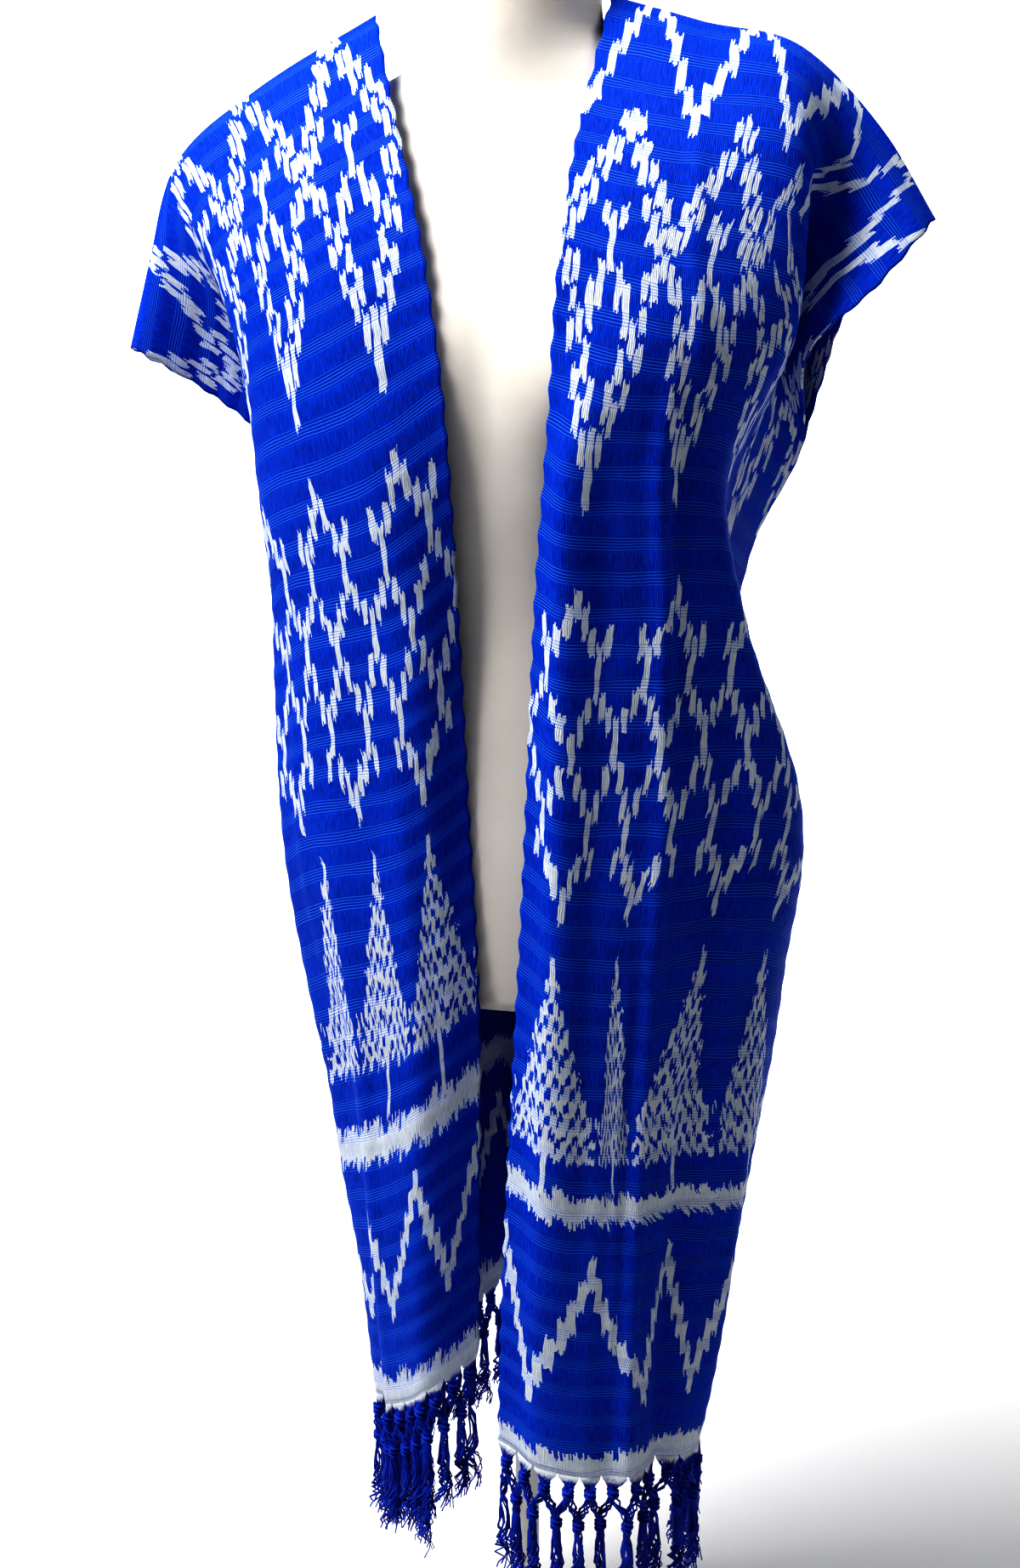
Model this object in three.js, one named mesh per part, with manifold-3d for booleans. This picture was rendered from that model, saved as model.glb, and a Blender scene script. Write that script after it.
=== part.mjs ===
// A long open wrap cut like a kimono, from two straight lengths of hand-woven cotton,
// worn by a smooth dress form on a pole. Millimetres, +Z up, the origin on the floor
// under the pole. The wearer faces -Y, so the wearer's left is +X.
import * as THREE from "three";
import { mergeVertices } from "three/addons/utils/BufferGeometryUtils.js";
import Module from "manifold-3d";

const wasm = await Module();
wasm.setup();

// Cloth.
const WALL = 1.8; // thickness of the cloth
const SEAM_GAP = 0.3; // between two pieces that are sewn together
const CROSS_STEPS = 26; // facets across a length, selvage to selvage
const WARP_STEPS = 42; // facets from the front hem to the back hem
const CURVE_DIVISIONS = 60; // chords that measure the cloth's width across the body
const FOLD_EASE = 0.35; // share of a fold's length over which it fades in
const SELVAGE_CALM = 30; // a fold fades out this near to a selvage
const FORM_AHEAD = 35; // the form's middle is this far in front of the pole

// Fringe.
const STRIP_GAP = 1.3; // down the cloth, less where the hem slants
const STRIP_DEPTH = 5; // the woven heading that the fringe hangs from
const ROOT_DEPTH = 2; // how far a tassel's root goes into the heading
const TASSELS_A_HEM = 16;
const TASSEL_DROP = 112;
const TASSEL_SIDES = 3;
const TASSEL_LEAN = 3; // how far a tassel's tip may hang out of line
const TASSEL_UNEVEN = 0.07; // share by which the drops differ
const TASSEL_TURN = 0.9; // radians from one tassel to the next

// Dress form and stand.
const FORM_BOTTOM = 730;
const NECK_TOP = 1512;
const RING_POINTS = 28;
const COLLAR_RADIUS = 32;
const COLLAR_DEPTH = 8;
const POLE_RADIUS = 11;
const HUB_TOP = 46;
const HUB_RADIUS = 20;
const BASE_RADIUS = 135;
const BASE_DEPTH = 12;
const BASE_FOOT_EDGE = 2;
const BASE_TOP_EDGE = 3;
const BASE_SLOPE_RISE = 3; // from the rim to the foot of the hub
const HUB_FILLET = 8;
const ROUND_SIDES = 32;
const CONTACT_GAP = 0.3; // between pieces of the stand that rest on each other
const BUST = { out: 78, up: 1208, halfWidth: 58, halfHeight: 62, forward: 20 };

const CLOTH_WIDTH = 325; // selvage to selvage
const SLEEVE_DEPTH = 230; // half of each sleeve opening, measured along the selvage

// Each length is described by rows, one for each station along its warp. "warp" is the
// distance from the shoulder line, negative in front and positive behind. Each row has four
// places across the cloth, from its inner selvage (the edge) outwards, given as out (away
// from the middle of the body), fwd (towards the front) and up.
const STATION_COLUMNS = [
  "warp", "edgeOut", "edgeFwd", "edgeUp", "chestOut", "chestFwd", "foldOut", "foldFwd",
  "foldUp", "dipOut", "dipFwd",
];

// The outer selvage has a table of its own. From the shoulder line it first edges the sleeve,
// and below the sleeve front and back share one side seam.
const SELVAGE_COLUMNS = ["warp", "out", "fwd", "up"];

const RIGHT_STATIONS = [
  [-1062, 4, 128, 446, 50, 147, 91, 100, 371, 106, 34],
  [-930, 3, 127, 578, 48, 153, 92, 121, 505, 115, 52],
  [-780, 3, 124, 728, 50, 150, 103, 122, 660, 142, 60],
  [-600, 12, 122, 908, 54, 144, 142, 110, 845, 177, 50],
  [-450, 18, 126, 1058, 56, 141, 146, 106, 995, 184, 50],
  [-330, 25, 130, 1180, 82, 140, 176, 88, 1102, 182, 40],
  [-230, 42, 112, 1274, 120, 122, 190, 80, 1200, 182, 35],
  [-150, 64, 80, 1341, 142, 96, 210, 66, 1260, 196, 24],
  [-75, 88, 40, 1402, 170, 55, 236, 44, 1308, 230, 32],
  [0, 112, -8, 1454, 206, -4, 268, 2, 1353, 277, 38],
  [70, 126, -58, 1410, 172, -66, 232, -44, 1314, 262, -20],
  [143, 92, -92, 1368, 134, -102, 192, -82, 1294, 202, -44],
  [200, 44, -104, 1340, 108, -114, 176, -92, 1240, 190, -48],
  [250, 0.2, -110, 1316, 88, -126, 163, -102, 1190, 186, -52],
  [350, 0.2, -118, 1212, 80, -134, 155, -112, 1108, 188, -70],
  [500, 0.2, -122, 1062, 78, -136, 152, -114, 968, 190, -72],
  [700, 0.2, -134, 860, 76, -152, 144, -126, 773, 174, -84],
  [900, 0.2, -138, 652, 72, -158, 130, -124, 573, 148, -84],
  [1180, 0.2, -136, 368, 66, -152, 112, -114, 304, 120, -80],
];

const RIGHT_SELVAGE = [
  [-1180, 98, -36, 232],
  [-1062, 107, -36, 322],
  [-930, 125, -30, 448],
  [-780, 158, -26, 592],
  [-600, 182, -24, 766],
  [-450, 200, -18, 910],
  [-330, 200, -16, 1026],
  [-230, 192, -8, 1112],
  [-150, 198, 28, 1152],
  [-75, 236, 44, 1186],
  [0, 284, 66, 1218],
  [75, 284, -8, 1198],
  [150, 222, -48, 1164],
  [230, 192, -8, 1112],
];

const LEFT_STATIONS = [
  [-1120, 15, 142, 378, 80, 166, 157, 98, 358, 150, 28],
  [-1000, 18, 142, 496, 74, 163, 172, 82, 470, 178, 24],
  [-850, 24, 140, 646, 71, 158, 187, 74, 616, 200, 25],
  [-700, 31, 137, 796, 70, 154, 200, 68, 768, 216, 20],
  [-560, 36, 133, 936, 66, 150, 215, 60, 912, 221, 18],
  [-450, 40, 131, 1046, 65, 146, 183, 78, 1030, 150, 24],
  [-330, 48, 130, 1165, 71, 143, 164, 88, 1145, 160, 34],
  [-230, 50, 112, 1264, 130, 118, 206, 74, 1232, 194, 26],
  [-150, 53, 82, 1338, 125, 92, 212, 64, 1302, 196, 12],
  [-75, 58, 42, 1398, 130, 50, 207, 46, 1370, 222, 14],
  [0, 64, -10, 1462, 129, -4, 198, 2, 1425, 260, 4],
  [50, 53, -50, 1444, 118, -58, 198, -44, 1390, 242, -28],
  [115, 0.2, -86, 1398, 95, -100, 190, -78, 1344, 216, -50],
  [195, 0.2, -106, 1326, 88, -126, 176, -98, 1272, 200, -60],
  [330, 0.2, -118, 1200, 80, -134, 140, -114, 1140, 160, -80],
  [480, 0.2, -122, 1052, 78, -138, 128, -116, 1010, 142, -82],
  [680, 0.2, -134, 852, 80, -158, 148, -134, 800, 186, -92],
  [880, 0.2, -138, 652, 78, -164, 146, -134, 600, 180, -88],
  [1150, 0.2, -136, 382, 72, -158, 130, -122, 336, 150, -76],
];

const LEFT_SELVAGE = [
  [-1150, 136, -26, 296],
  [-1120, 139, -26, 325],
  [-1000, 162, -26, 438],
  [-850, 182, -28, 578],
  [-700, 194, -30, 718],
  [-560, 192, -32, 846],
  [-450, 162, -34, 956],
  [-330, 174, -32, 1066],
  [-230, 212, -10, 1150],
  [-150, 217, 50, 1216],
  [-75, 264, 46, 1264],
  [0, 298, 0, 1308],
  [50, 270, -34, 1284],
  [108, 238, -46, 1244],
  [170, 224, -36, 1198],
  [230, 212, -10, 1150],
];

// Lengthwise folds. "across" is the distance from the inner selvage at the fold's top, "drift"
// is how far it has moved at its bottom, and a negative depth is a trough.
const FOLD_COLUMNS = ["across", "drift", "from", "to", "width", "depth"];

const RIGHT_FOLDS = [
  [206, -8, -300, -820, 15, 5],
  [238, -6, -300, -900, 18, -9],
  [128, 4, -560, -1062, 14, 4],
  [164, 2, -600, -1062, 16, -7],
  [210, 0, -760, -1062, 16, 6],
  [84, 6, -330, -1062, 26, -4],
  [66, 10, 330, 1180, 20, 9],
  [118, -10, 300, 1180, 20, -10],
  [182, 0, 350, 1180, 22, 9],
  [240, 0, 350, 1180, 22, -11],
];

const LEFT_FOLDS = [
  [98, 8, -240, -530, 9, 6],
  [58, 6, -260, -620, 16, -4],
  [100, 4, -620, -1120, 20, -5],
  [156, 4, -860, -1120, 14, -6],
  [152, 6, -420, -900, 16, -6],
  [214, 0, -700, -1120, 20, 7],
  [250, 0, -760, -1120, 18, -9],
  [26, 14, -300, -1120, 12, 3],
  [62, 8, 330, 1150, 20, 9],
  [112, -6, 300, 1150, 20, -10],
  [176, 0, 350, 1150, 22, 10],
  [236, 0, 350, 1150, 22, -11],
];

const named = (columns, rows) =>
  rows.map((row) => Object.fromEntries(columns.map((name, i) => [name, row[i]])));

// The cubic through the middle two of four values, whose slopes come from their neighbours.
function cubic(x0, y0, x1, y1, x2, y2, x3, y3, x) {
  const span = x2 - x1;
  const s = (x - x1) / span;
  const slope1 = ((y2 - y0) / (x2 - x0)) * span;
  const slope2 = ((y3 - y1) / (x3 - x1)) * span;
  const h = s * s * (3 - 2 * s);
  return y1 + h * (y2 - y1) + s * (1 - s) * ((1 - s) * slope1 - s * slope2);
}

// One column of a table of rows, read smoothly at any place along the key column.
function along(rows, key, column, x) {
  let i = 1;
  while (i < rows.length - 1 && rows[i][key] < x) i += 1;
  const a = rows[i - 1];
  const b = rows[i];
  const before = rows[i - 2] ?? { [key]: 2 * a[key] - b[key], [column]: 2 * a[column] - b[column] };
  const after = rows[i + 1] ?? { [key]: 2 * b[key] - a[key], [column]: 2 * b[column] - a[column] };
  return cubic(
    before[key], before[column], a[key], a[column], b[key], b[column], after[key], after[column], x,
  );
}

// The five places across one station, as points in the form's own frame.
function stationPoints({ stations, selvage, side }, warp) {
  const at = (column) => along(stations, "warp", column, warp);
  const seamWarp = warp > SLEEVE_DEPTH ? -warp : warp;
  const seam = (column) => along(selvage, "warp", column, seamWarp);
  const edgeUp = at("edgeUp");
  const foldUp = at("foldUp");
  const seamUp = seam("up");
  const seamBack = warp > SLEEVE_DEPTH ? SEAM_GAP + WALL : 0;
  const place = (out, fwd, up) => new THREE.Vector3(side * out, -fwd, up);
  return [
    place(at("edgeOut"), at("edgeFwd"), edgeUp),
    place(at("chestOut"), at("chestFwd"), (edgeUp + foldUp) / 2),
    place(at("foldOut"), at("foldFwd"), foldUp),
    place(at("dipOut"), at("dipFwd"), (foldUp + seamUp) / 2),
    place(seam("out"), seam("fwd") - seamBack, seamUp),
  ];
}

const fade = (from, to, x) => THREE.MathUtils.smoothstep(x, from, to);

// The middle surface of a length as a grid of points, [station][place across].
function drape(length) {
  const { stations, folds, side } = length;
  const first = stations[0].warp;
  const last = stations[stations.length - 1].warp;
  const grid = [];
  for (let j = 0; j <= WARP_STEPS; j += 1) {
    const warp = first + ((last - first) * j) / WARP_STEPS;
    const curve = new THREE.CatmullRomCurve3(stationPoints(length, warp), false, "centripetal");
    curve.arcLengthDivisions = CURVE_DIVISIONS;
    grid.push(curve.getSpacedPoints(CROSS_STEPS));
  }
  const normals = gridNormals(grid, side);
  return grid.map((row, j) => {
    const warp = first + ((last - first) * j) / WARP_STEPS;
    return row.map((point, i) => {
      const across = (CLOTH_WIDTH * i) / CROSS_STEPS;
      let lift = 0;
      for (const fold of folds) {
        const share = (warp - fold.from) / (fold.to - fold.from);
        const away = (across - fold.across - fold.drift * share) / fold.width;
        const calm = fade(0, SELVAGE_CALM, across) * fade(0, SELVAGE_CALM, CLOTH_WIDTH - across);
        lift += fold.depth * Math.exp(-away * away) * fade(0, FOLD_EASE, share) * calm;
      }
      return point.clone().addScaledVector(normals[j][i], lift);
    });
  });
}

// Unit normals of a grid of points, all pointing away from the body.
function gridNormals(grid, side) {
  const rows = grid.length;
  const columns = grid[0].length;
  return grid.map((row, j) =>
    row.map((_, i) => {
      const acrossStep = grid[j][Math.min(i + 1, columns - 1)].clone();
      acrossStep.sub(grid[j][Math.max(i - 1, 0)]);
      const warpStep = grid[Math.min(j + 1, rows - 1)][i].clone();
      warpStep.sub(grid[Math.max(j - 1, 0)][i]);
      return acrossStep.cross(warpStep).multiplyScalar(side).normalize();
    }),
  );
}

// A closed wall round a grid of middle points: its outer face, inner face and four edges.
// No corner crosses the centre seam.
function wallGeometry(grid, side, thickness) {
  const normals = gridNormals(grid, side);
  const rows = grid.length;
  const columns = grid[0].length;
  const positions = [];
  for (const half of [thickness / 2, -thickness / 2])
    grid.forEach((row, j) =>
      row.forEach((point, i) => {
        const corner = point.clone().addScaledVector(normals[j][i], half);
        corner.x = side * Math.max(side * corner.x, SEAM_GAP / 2);
        positions.push(corner.x, corner.y, corner.z);
      }),
    );
  const outer = (j, i) => j * columns + i;
  const inner = (j, i) => rows * columns + j * columns + i;
  const faces = [];
  const quad = (a, b, c, d) => {
    if (side > 0) faces.push(a, b, c, a, c, d);
    else faces.push(a, c, b, a, d, c);
  };
  for (let j = 0; j < rows - 1; j += 1)
    for (let i = 0; i < columns - 1; i += 1) {
      quad(outer(j, i), outer(j, i + 1), outer(j + 1, i + 1), outer(j + 1, i));
      quad(inner(j, i), inner(j + 1, i), inner(j + 1, i + 1), inner(j, i + 1));
    }
  for (let j = 0; j < rows - 1; j += 1) {
    quad(outer(j, 0), outer(j + 1, 0), inner(j + 1, 0), inner(j, 0));
    const e = columns - 1;
    quad(outer(j + 1, e), outer(j, e), inner(j, e), inner(j + 1, e));
  }
  for (let i = 0; i < columns - 1; i += 1) {
    quad(outer(0, i + 1), outer(0, i), inner(0, i), inner(0, i + 1));
    const e = rows - 1;
    quad(outer(e, i), outer(e, i + 1), inner(e, i + 1), inner(e, i));
  }
  const geometry = new THREE.BufferGeometry();
  geometry.setAttribute("position", new THREE.Float32BufferAttribute(positions, 3));
  geometry.setIndex(faces);
  return geometry;
}

// A closed solid through a stack of rings that all have the same number of points.
function ringsGeometry(rings) {
  const count = rings[0].length;
  const positions = rings.flat().flatMap((point) => point.toArray());
  const faces = [];
  for (let r = 0; r < rings.length - 1; r += 1)
    for (let k = 0; k < count; k += 1) {
      const a = r * count + k;
      const b = r * count + ((k + 1) % count);
      faces.push(a, b, b + count, a, b + count, a + count);
    }
  const top = (rings.length - 1) * count;
  for (let k = 1; k < count - 1; k += 1) {
    faces.push(0, k + 1, k);
    faces.push(top, top + k, top + k + 1);
  }
  const geometry = new THREE.BufferGeometry();
  geometry.setAttribute("position", new THREE.Float32BufferAttribute(positions, 3));
  geometry.setIndex(faces);
  return geometry;
}

function toSolid(geometry) {
  const bare = geometry.clone();
  bare.deleteAttribute("normal");
  bare.deleteAttribute("uv");
  const merged = mergeVertices(bare, 1e-4);
  return new wasm.Manifold(
    new wasm.Mesh({
      numProp: 3,
      vertProperties: merged.attributes.position.array,
      triVerts: new Uint32Array(merged.index.array),
    }),
  );
}

function toGeometry(solid) {
  const mesh = solid.getMesh();
  const geometry = new THREE.BufferGeometry();
  geometry.setAttribute("position", new THREE.Float32BufferAttribute(mesh.vertProperties, 3));
  geometry.setIndex(Array.from(mesh.triVerts));
  return geometry;
}

// A knotted tassel of warp ends: rings, each a drop below the heading and a radius.
const TASSEL_COLUMNS = ["drop", "radius"];
const TASSEL_RINGS = named(TASSEL_COLUMNS, [
  [0, 2.2],
  [14, 5],
  [24, 3],
  [60, 6],
  [TASSEL_DROP, 3.6],
]);

function tasselGeometry(top, lean, scale, turn) {
  const rings = TASSEL_RINGS.map(({ drop, radius }) => {
    const share = drop / TASSEL_DROP;
    const centre = top.clone().addScaledVector(lean, share * share);
    centre.z -= drop * scale;
    return Array.from({ length: TASSEL_SIDES }, (_, k) => {
      const angle = turn + (k * 2 * Math.PI) / TASSEL_SIDES;
      return new THREE.Vector3(
        centre.x + radius * Math.cos(angle), centre.y + radius * Math.sin(angle), centre.z,
      );
    });
  });
  return ringsGeometry(rings.reverse());
}

// The fringe of one hem: a narrow heading just below the cloth's edge, and its tassels.
function fringeGeometry(hemRow, nextRow, side, atFront, seed) {
  const down = hemRow.map((point, i) => point.clone().sub(nextRow[i]).normalize());
  const last = hemRow.length - 1;
  const level = (drop) => hemRow.map((point, i) => point.clone().addScaledVector(down[i], drop));
  const heading = level(STRIP_GAP + STRIP_DEPTH);
  const strip = [level(STRIP_GAP), heading];
  if (atFront) strip.reverse();
  let solid = toSolid(wallGeometry(strip, side, WALL));
  for (let k = 0; k < TASSELS_A_HEM; k += 1) {
    const place = ((k + 0.5) / TASSELS_A_HEM) * last;
    const i = Math.min(Math.floor(place), last - 1);
    const top = heading[i].clone().lerp(heading[i + 1], place - i);
    top.z += ROOT_DEPTH;
    const sideways = Math.sin(seed * 12.9 + k * 4.7);
    const forward = Math.cos(seed + k * 2.3);
    const lean = new THREE.Vector3(sideways, forward, 0).multiplyScalar(TASSEL_LEAN);
    const scale = 1 + TASSEL_UNEVEN * Math.sin(seed * 3.1 + k * 1.9);
    solid = solid.add(toSolid(tasselGeometry(top, lean, scale, k * TASSEL_TURN)));
  }
  return toGeometry(solid);
}

// The dress form: level rings, each with its half width and how far it reaches forward and
// back of its own middle line. "square" makes a ring boxier than an ellipse.
const FORM_COLUMNS = ["up", "halfWidth", "front", "back", "middle", "square"];
const FORM_ROWS = named(FORM_COLUMNS, [
  [FORM_BOTTOM, 160, 112, 112, 0, 2.2],
  [736, 163, 115, 115, 0, 2.2],
  [800, 172, 118, 124, 0, 2.2],
  [870, 172, 118, 124, 0, 2.2],
  [950, 152, 115, 108, 0, 2.1],
  [1040, 128, 110, 92, 0, 2.1],
  [1120, 134, 114, 96, 0, 2.1],
  [1190, 152, 114, 102, 0, 2.2],
  [1250, 168, 108, 100, -2, 2.3],
  [1310, 178, 90, 86, -6, 2.3],
  [1350, 178, 72, 70, -8, 2.2],
  [1376, 164, 58, 58, -10, 2.1],
  [1394, 136, 50, 52, -12, 2],
  [1410, 100, 48, 50, -12, 2],
  [1424, 74, 48, 50, -12, 2],
  [1442, 59, 49, 50, -12, 2],
  [1480, 56, 50, 50, -12, 2],
  [NECK_TOP - 6, 55, 49, 49, -12, 2],
  [NECK_TOP, 50, 44, 44, -12, 2],
]);

function formRing(row) {
  const points = [];
  for (let k = 0; k < RING_POINTS; k += 1) {
    const angle = (2 * Math.PI * k) / RING_POINTS;
    const c = Math.cos(angle);
    const s = Math.sin(angle);
    const bend = (value) => Math.sign(value) * Math.abs(value) ** (2 / row.square);
    const x = row.halfWidth * bend(c);
    let y = (s > 0 ? row.back : row.front) * bend(s) - row.middle;
    if (s < 0) {
      const across = (Math.abs(x) - BUST.out) / BUST.halfWidth;
      const height = (row.up - BUST.up) / BUST.halfHeight;
      y -= BUST.forward * Math.exp(-across * across - height * height);
    }
    points.push(new THREE.Vector3(x, y, row.up));
  }
  return points;
}

const blue = () => new THREE.MeshStandardMaterial({ color: 0x0a3fc4, roughness: 0.85 });
const cream = () => new THREE.MeshStandardMaterial({ color: 0xf0ece4, roughness: 0.7 });
const steel = () => new THREE.MeshStandardMaterial({ color: 0xd9d9d6, roughness: 0.4, metalness: 0.2 });

const part = new THREE.Group();
const figure = new THREE.Group();
figure.position.y = -FORM_AHEAD;
part.add(figure);

function addMesh(group, name, geometry, material) {
  const mesh = new THREE.Mesh(geometry, material);
  mesh.name = name;
  group.add(mesh);
  return mesh;
}

const LENGTHS = [
  { name: "right", side: -1, stations: RIGHT_STATIONS, selvage: RIGHT_SELVAGE, folds: RIGHT_FOLDS },
  { name: "left", side: 1, stations: LEFT_STATIONS, selvage: LEFT_SELVAGE, folds: LEFT_FOLDS },
];
LENGTHS.forEach(({ name, side, stations, selvage, folds }, k) => {
  const grid = drape({
    side,
    stations: named(STATION_COLUMNS, stations),
    selvage: named(SELVAGE_COLUMNS, selvage),
    folds: named(FOLD_COLUMNS, folds),
  });
  const last = grid.length - 1;
  addMesh(figure, `length_${name}`, wallGeometry(grid, side, WALL), blue());
  const front = fringeGeometry(grid[0], grid[1], side, true, 1 + 2 * k);
  addMesh(figure, `fringe_front_${name}`, front, blue());
  const back = fringeGeometry(grid[last], grid[last - 1], side, false, 2 + 2 * k);
  addMesh(figure, `fringe_back_${name}`, back, blue());
});

addMesh(figure, "form_torso", ringsGeometry(FORM_ROWS.map(formRing)), cream());

// The stand: a collar under the form, the pole, and a round base with a hub.
const upright = (geometry, from, to) => geometry.rotateX(Math.PI / 2).translate(0, 0, (from + to) / 2);
const collarTop = FORM_BOTTOM - CONTACT_GAP;
const collarBottom = collarTop - COLLAR_DEPTH;
const collar = new THREE.CylinderGeometry(COLLAR_RADIUS, COLLAR_RADIUS, COLLAR_DEPTH, ROUND_SIDES);
addMesh(part, "form_collar", upright(collar, collarBottom, collarTop), steel());

const poleTop = collarBottom - CONTACT_GAP;
const poleBottom = HUB_TOP + CONTACT_GAP;
const poleLength = poleTop - poleBottom;
const pole = new THREE.CylinderGeometry(POLE_RADIUS, POLE_RADIUS, poleLength, ROUND_SIDES);
addMesh(part, "stand_pole", upright(pole, poleBottom, poleTop), steel());

const baseProfile = [
  [0, 0],
  [BASE_RADIUS - BASE_FOOT_EDGE, 0],
  [BASE_RADIUS, BASE_FOOT_EDGE],
  [BASE_RADIUS, BASE_DEPTH - BASE_TOP_EDGE],
  [BASE_RADIUS - BASE_TOP_EDGE, BASE_DEPTH],
  [HUB_RADIUS + HUB_FILLET, BASE_DEPTH + BASE_SLOPE_RISE],
  [HUB_RADIUS, BASE_DEPTH + BASE_SLOPE_RISE + HUB_FILLET],
  [HUB_RADIUS, HUB_TOP],
  [0, HUB_TOP],
].map(([radius, up]) => new THREE.Vector2(radius, up));
const base = new THREE.LatheGeometry(baseProfile, ROUND_SIDES).rotateX(Math.PI / 2);
addMesh(part, "stand_base", base, steel());

export default part;
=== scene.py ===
import math

import bpy
import numpy as np
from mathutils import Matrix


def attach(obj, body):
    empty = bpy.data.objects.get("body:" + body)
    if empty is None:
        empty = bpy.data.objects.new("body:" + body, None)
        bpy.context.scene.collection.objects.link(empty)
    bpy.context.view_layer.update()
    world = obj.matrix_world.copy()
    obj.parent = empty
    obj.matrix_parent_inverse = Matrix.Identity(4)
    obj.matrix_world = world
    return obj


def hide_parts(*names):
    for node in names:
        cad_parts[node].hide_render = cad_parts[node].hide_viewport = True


# The looks of a long open ikat wrap: two straight lengths of hand-woven cotton, each hung over
# one shoulder of a smooth dress form, joined at the centre back and the sides, with a knotted
# fringe on every hem. Tables are in millimetres; meshes are in metres.
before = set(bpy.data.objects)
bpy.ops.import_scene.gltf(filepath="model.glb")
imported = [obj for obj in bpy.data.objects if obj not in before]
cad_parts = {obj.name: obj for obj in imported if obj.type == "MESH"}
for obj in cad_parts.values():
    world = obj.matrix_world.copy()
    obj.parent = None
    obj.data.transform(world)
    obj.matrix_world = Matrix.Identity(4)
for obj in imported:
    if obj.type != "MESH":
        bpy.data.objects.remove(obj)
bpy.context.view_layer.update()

MM = 0.001
FORM_AHEAD = 35  # the form's middle is this far in front of the pole
CLOTH_WIDTH = 325  # selvage to selvage
CLOTH_WALL = 1.5
SEAM_STEP = 2.1  # the back edge of a side seam lies this far behind the front one
SLEEVE_DEPTH = 230  # half of each sleeve opening, along the selvage
CENTRE_GAP = 0.9  # the cloth's middle stays this far from the centre back
ACROSS_POINTS = 112
WARP_POINTS = 400
RIB_REPEAT = 25  # from one band of raised wefts to the next


# ---------------- camera, lights, stage

def make_camera():
    """A camera a little to the wearer's left, looking down at the front."""
    data = bpy.data.cameras.new("camera")
    data.lens = 42.56
    camera = bpy.data.objects.new("camera", data)
    camera.location = (0.3139, -1.4302, 1.262)
    camera.rotation_euler = (math.radians(75), 0, math.radians(13))
    bpy.context.scene.collection.objects.link(camera)
    bpy.context.scene.camera = camera


def make_light(name, place, target, size, power, colour, spread=180):
    """A square area light at one place, turned to another, its beam `spread` degrees wide."""
    data = bpy.data.lights.new(name, "AREA")
    data.size = size
    data.spread = math.radians(spread)
    data.energy = power
    data.color = colour
    light = bpy.data.objects.new(name, data)
    light.location = place
    away = np.array(place) - np.array(target)
    level = math.hypot(away[0], away[1])
    light.rotation_euler = (math.atan2(level, away[2]), 0, math.atan2(away[1], away[0]) + math.pi / 2)
    bpy.context.scene.collection.objects.link(light)


SKY_LIGHT = 0.02  # the sky's strength as a light
SKY_SEEN = 0.9  # added where the sky itself is seen


def make_lights():
    """A strong key from the wearer's right, weak fills, a small lamp over the neck, two lamps on
    the wall behind, and a sky that looks pale but gives little light."""
    chest = (0, 0, 1.0)
    make_light("key", (-1.55, -1.0, 3.6), chest, 1.3, 130, (1.0, 0.98, 0.95))
    make_light("front_fill", (-0.3, -2.9, 1.5), chest, 2.2, 0.7, (0.95, 0.97, 1.0))
    make_light("back_fill", (0.8, 2.6, 1.8), chest, 2.0, 2, (0.97, 0.98, 1.0))
    make_light("shoulder_fill", (0.75, 0.05, 2.35), (0.12, 0, 1.46), 0.6, 0.6, (0.97, 0.98, 1.0), 60)
    for name, out in (("wall_left", -2.6), ("wall_right", 2.6)):
        make_light(name, (out, 3.4, 4.5), (out, 7.4, 1.0), 2.4, 430, (1.0, 1.0, 1.0))
    world = bpy.data.worlds.new("sky")
    world.use_nodes = True
    sky = world.node_tree.nodes["Background"]
    sky.inputs["Color"].default_value = (0.95, 0.97, 1.0, 1)
    graph = Graph(world.node_tree)
    seen = graph.node("ShaderNodeLightPath").outputs["Is Camera Ray"]
    graph.plug(sky.inputs["Strength"], graph.math("MULTIPLY_ADD", seen, SKY_SEEN, SKY_LIGHT))
    bpy.context.scene.world = world


# ---------------- meshes from arrays

def grid_faces(rows, columns, start=0, wrap=False):
    """Quads of a grid of points whose indices run along each row first. With wrap, the last
    column joins the first."""
    across = columns if wrap else columns - 1
    j, i = np.meshgrid(np.arange(rows - 1), np.arange(across), indexing="ij")
    after = (i + 1) % columns
    corners = (j * columns + i, j * columns + after, (j + 1) * columns + after, (j + 1) * columns + i)
    return np.stack([c.ravel() for c in corners], axis=-1) + start


def make_mesh(name, points, faces, attributes=None):
    """A smooth-shaded object from arrays of points in metres and of quads or triangles."""
    mesh = bpy.data.meshes.new(name)
    mesh.vertices.add(len(points))
    mesh.vertices.foreach_set("co", np.asarray(points, np.float32).ravel())
    faces = [np.asarray(f, np.int32) for f in (faces if isinstance(faces, list) else [faces])]
    sizes = np.concatenate([np.full(len(f), f.shape[1]) for f in faces])
    mesh.loops.add(int(sizes.sum()))
    mesh.loops.foreach_set("vertex_index", np.concatenate([f.ravel() for f in faces]))
    mesh.polygons.add(len(sizes))
    mesh.polygons.foreach_set("loop_start", np.concatenate([[0], np.cumsum(sizes)[:-1]]).astype(np.int32))
    mesh.polygons.foreach_set("use_smooth", np.full(len(sizes), True))
    mesh.update()
    mesh.validate()
    for key, values in (attributes or {}).items():
        values = np.asarray(values, np.float32)
        kind, field = ("FLOAT", "value") if values.ndim == 1 else ("FLOAT_VECTOR", "vector")
        mesh.attributes.new(key, kind, "POINT").data.foreach_set(field, values.ravel())
    made = bpy.data.objects.new(name, mesh)
    bpy.context.scene.collection.objects.link(made)
    return made


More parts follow.
